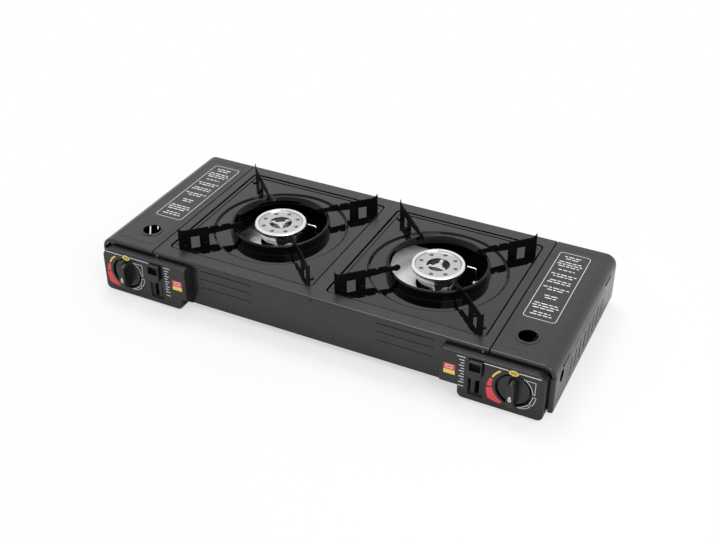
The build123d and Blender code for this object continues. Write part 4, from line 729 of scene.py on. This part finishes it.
def floor():
    """A wide pale floor that fades into the white round it."""
    bpy.ops.mesh.primitive_grid_add(x_subdivisions=FLOOR_CELLS, y_subdivisions=FLOOR_CELLS, size=FLOOR_SIZE)
    made = bpy.context.object
    made.name = "floor"
    sh = Shader("floor_pale")
    sh.colour(sh.tint(sh.noise(scale=3, detail=3), grey(0.9), grey(0.93)))
    sh.gloss((0.75, 0.85), scale=20, detail=3)
    sh.set(Specular_IOR_Level=0.1)
    white = sh.node("ShaderNodeEmission", Color=(1, 1, 1, 1), Strength=1.0)
    centre = sh.node("ShaderNodeVectorMath", operation="LENGTH")
    sh.link(sh.place, centre.inputs[0])
    distance = centre.outputs["Value"]
    path = sh.node("ShaderNodeLightPath")
    eye_share = sh.spread(distance, *EYE_WHITE, *EYE_FADE)
    to_eye = sh.math("MULTIPLY", path.outputs["Is Camera Ray"], eye_share)
    mirror_share = sh.spread(distance, *MIRROR_WHITE, *MIRROR_FADE)
    mirrored = sh.math("MULTIPLY", path.outputs["Is Glossy Ray"], mirror_share)
    mix = sh.node("ShaderNodeMixShader")
    sh.link(sh.math("MAXIMUM", to_eye, mirrored), mix.inputs["Fac"])
    sh.link(sh.base.outputs["BSDF"], mix.inputs[1])
    sh.link(white.outputs["Emission"], mix.inputs[2])
    sh.link(mix.outputs["Shader"], sh.tree.nodes["Material Output"].inputs["Surface"])
    made.data.materials.append(sh.mat)


def world():
    """White all round to the eye and in reflections, softer as a light."""
    made = bpy.data.worlds.new("studio")
    made.use_nodes = True
    tree = made.node_tree
    back = tree.nodes["Background"]
    path = tree.nodes.new("ShaderNodeLightPath")
    seen = tree.nodes.new("ShaderNodeMath")
    seen.operation = "MAXIMUM"
    tree.links.new(path.outputs["Is Camera Ray"], seen.inputs[0])
    tree.links.new(path.outputs["Is Glossy Ray"], seen.inputs[1])
    strength = tree.nodes.new("ShaderNodeMapRange")
    strength.inputs["To Min"].default_value = WORLD_LIGHT
    strength.inputs["To Max"].default_value = WORLD_SEEN
    tree.links.new(seen.outputs["Value"], strength.inputs["Value"])
    tree.links.new(strength.outputs["Result"], back.inputs["Strength"])
    back.inputs["Color"].default_value = (1, 1, 1, 1)
    bpy.context.scene.world = made


def lamp(name, place, size, power):
    """A square soft lamp aimed at the stove."""
    light = bpy.data.lights.new(name, "AREA")
    light.shape = "RECTANGLE"
    light.size = light.size_y = size
    light.energy = power
    made = bpy.data.objects.new(name, light)
    made.location = place
    made.rotation_euler = (Vector(LAMP_AIM) - Vector(place)).to_track_quat("-Z", "Y").to_euler()
    bpy.context.collection.objects.link(made)


def camera():
    """The photograph's view."""
    azimuth, elevation, roll = radians(AZIMUTH), radians(ELEVATION), radians(ROLL)
    back = Vector((sin(azimuth) * cos(elevation), -cos(azimuth) * cos(elevation), sin(elevation)))
    right = Vector((cos(azimuth), sin(azimuth), 0))
    up = back.cross(right)
    right, up = cos(roll) * right + sin(roll) * up, cos(roll) * up - sin(roll) * right
    data = bpy.data.cameras.new("camera")
    data.sensor_width = SENSOR_WIDTH
    data.lens = SENSOR_WIDTH * FOCAL_PIXELS / PHOTO_WIDTH
    data.shift_x = SHIFT_X_PIXELS / PHOTO_WIDTH
    data.shift_y = SHIFT_Y_PIXELS / PHOTO_WIDTH
    made = bpy.data.objects.new("camera", data)
    eye = Vector(VIEW_TARGET) + back * VIEW_DISTANCE
    turn = Matrix((right, up, back)).transposed()
    made.matrix_world = Matrix.Translation(eye) @ turn.to_4x4()
    bpy.context.collection.objects.link(made)
    bpy.context.scene.camera = made


floor()
world()
lamp("key", (1.5, -0.9, 1.9), size=1.6, power=26)
lamp("top", (-0.45, 0.6, 2.2), size=1.0, power=20)
camera()

bpy.context.scene.view_settings.view_transform = "Standard"
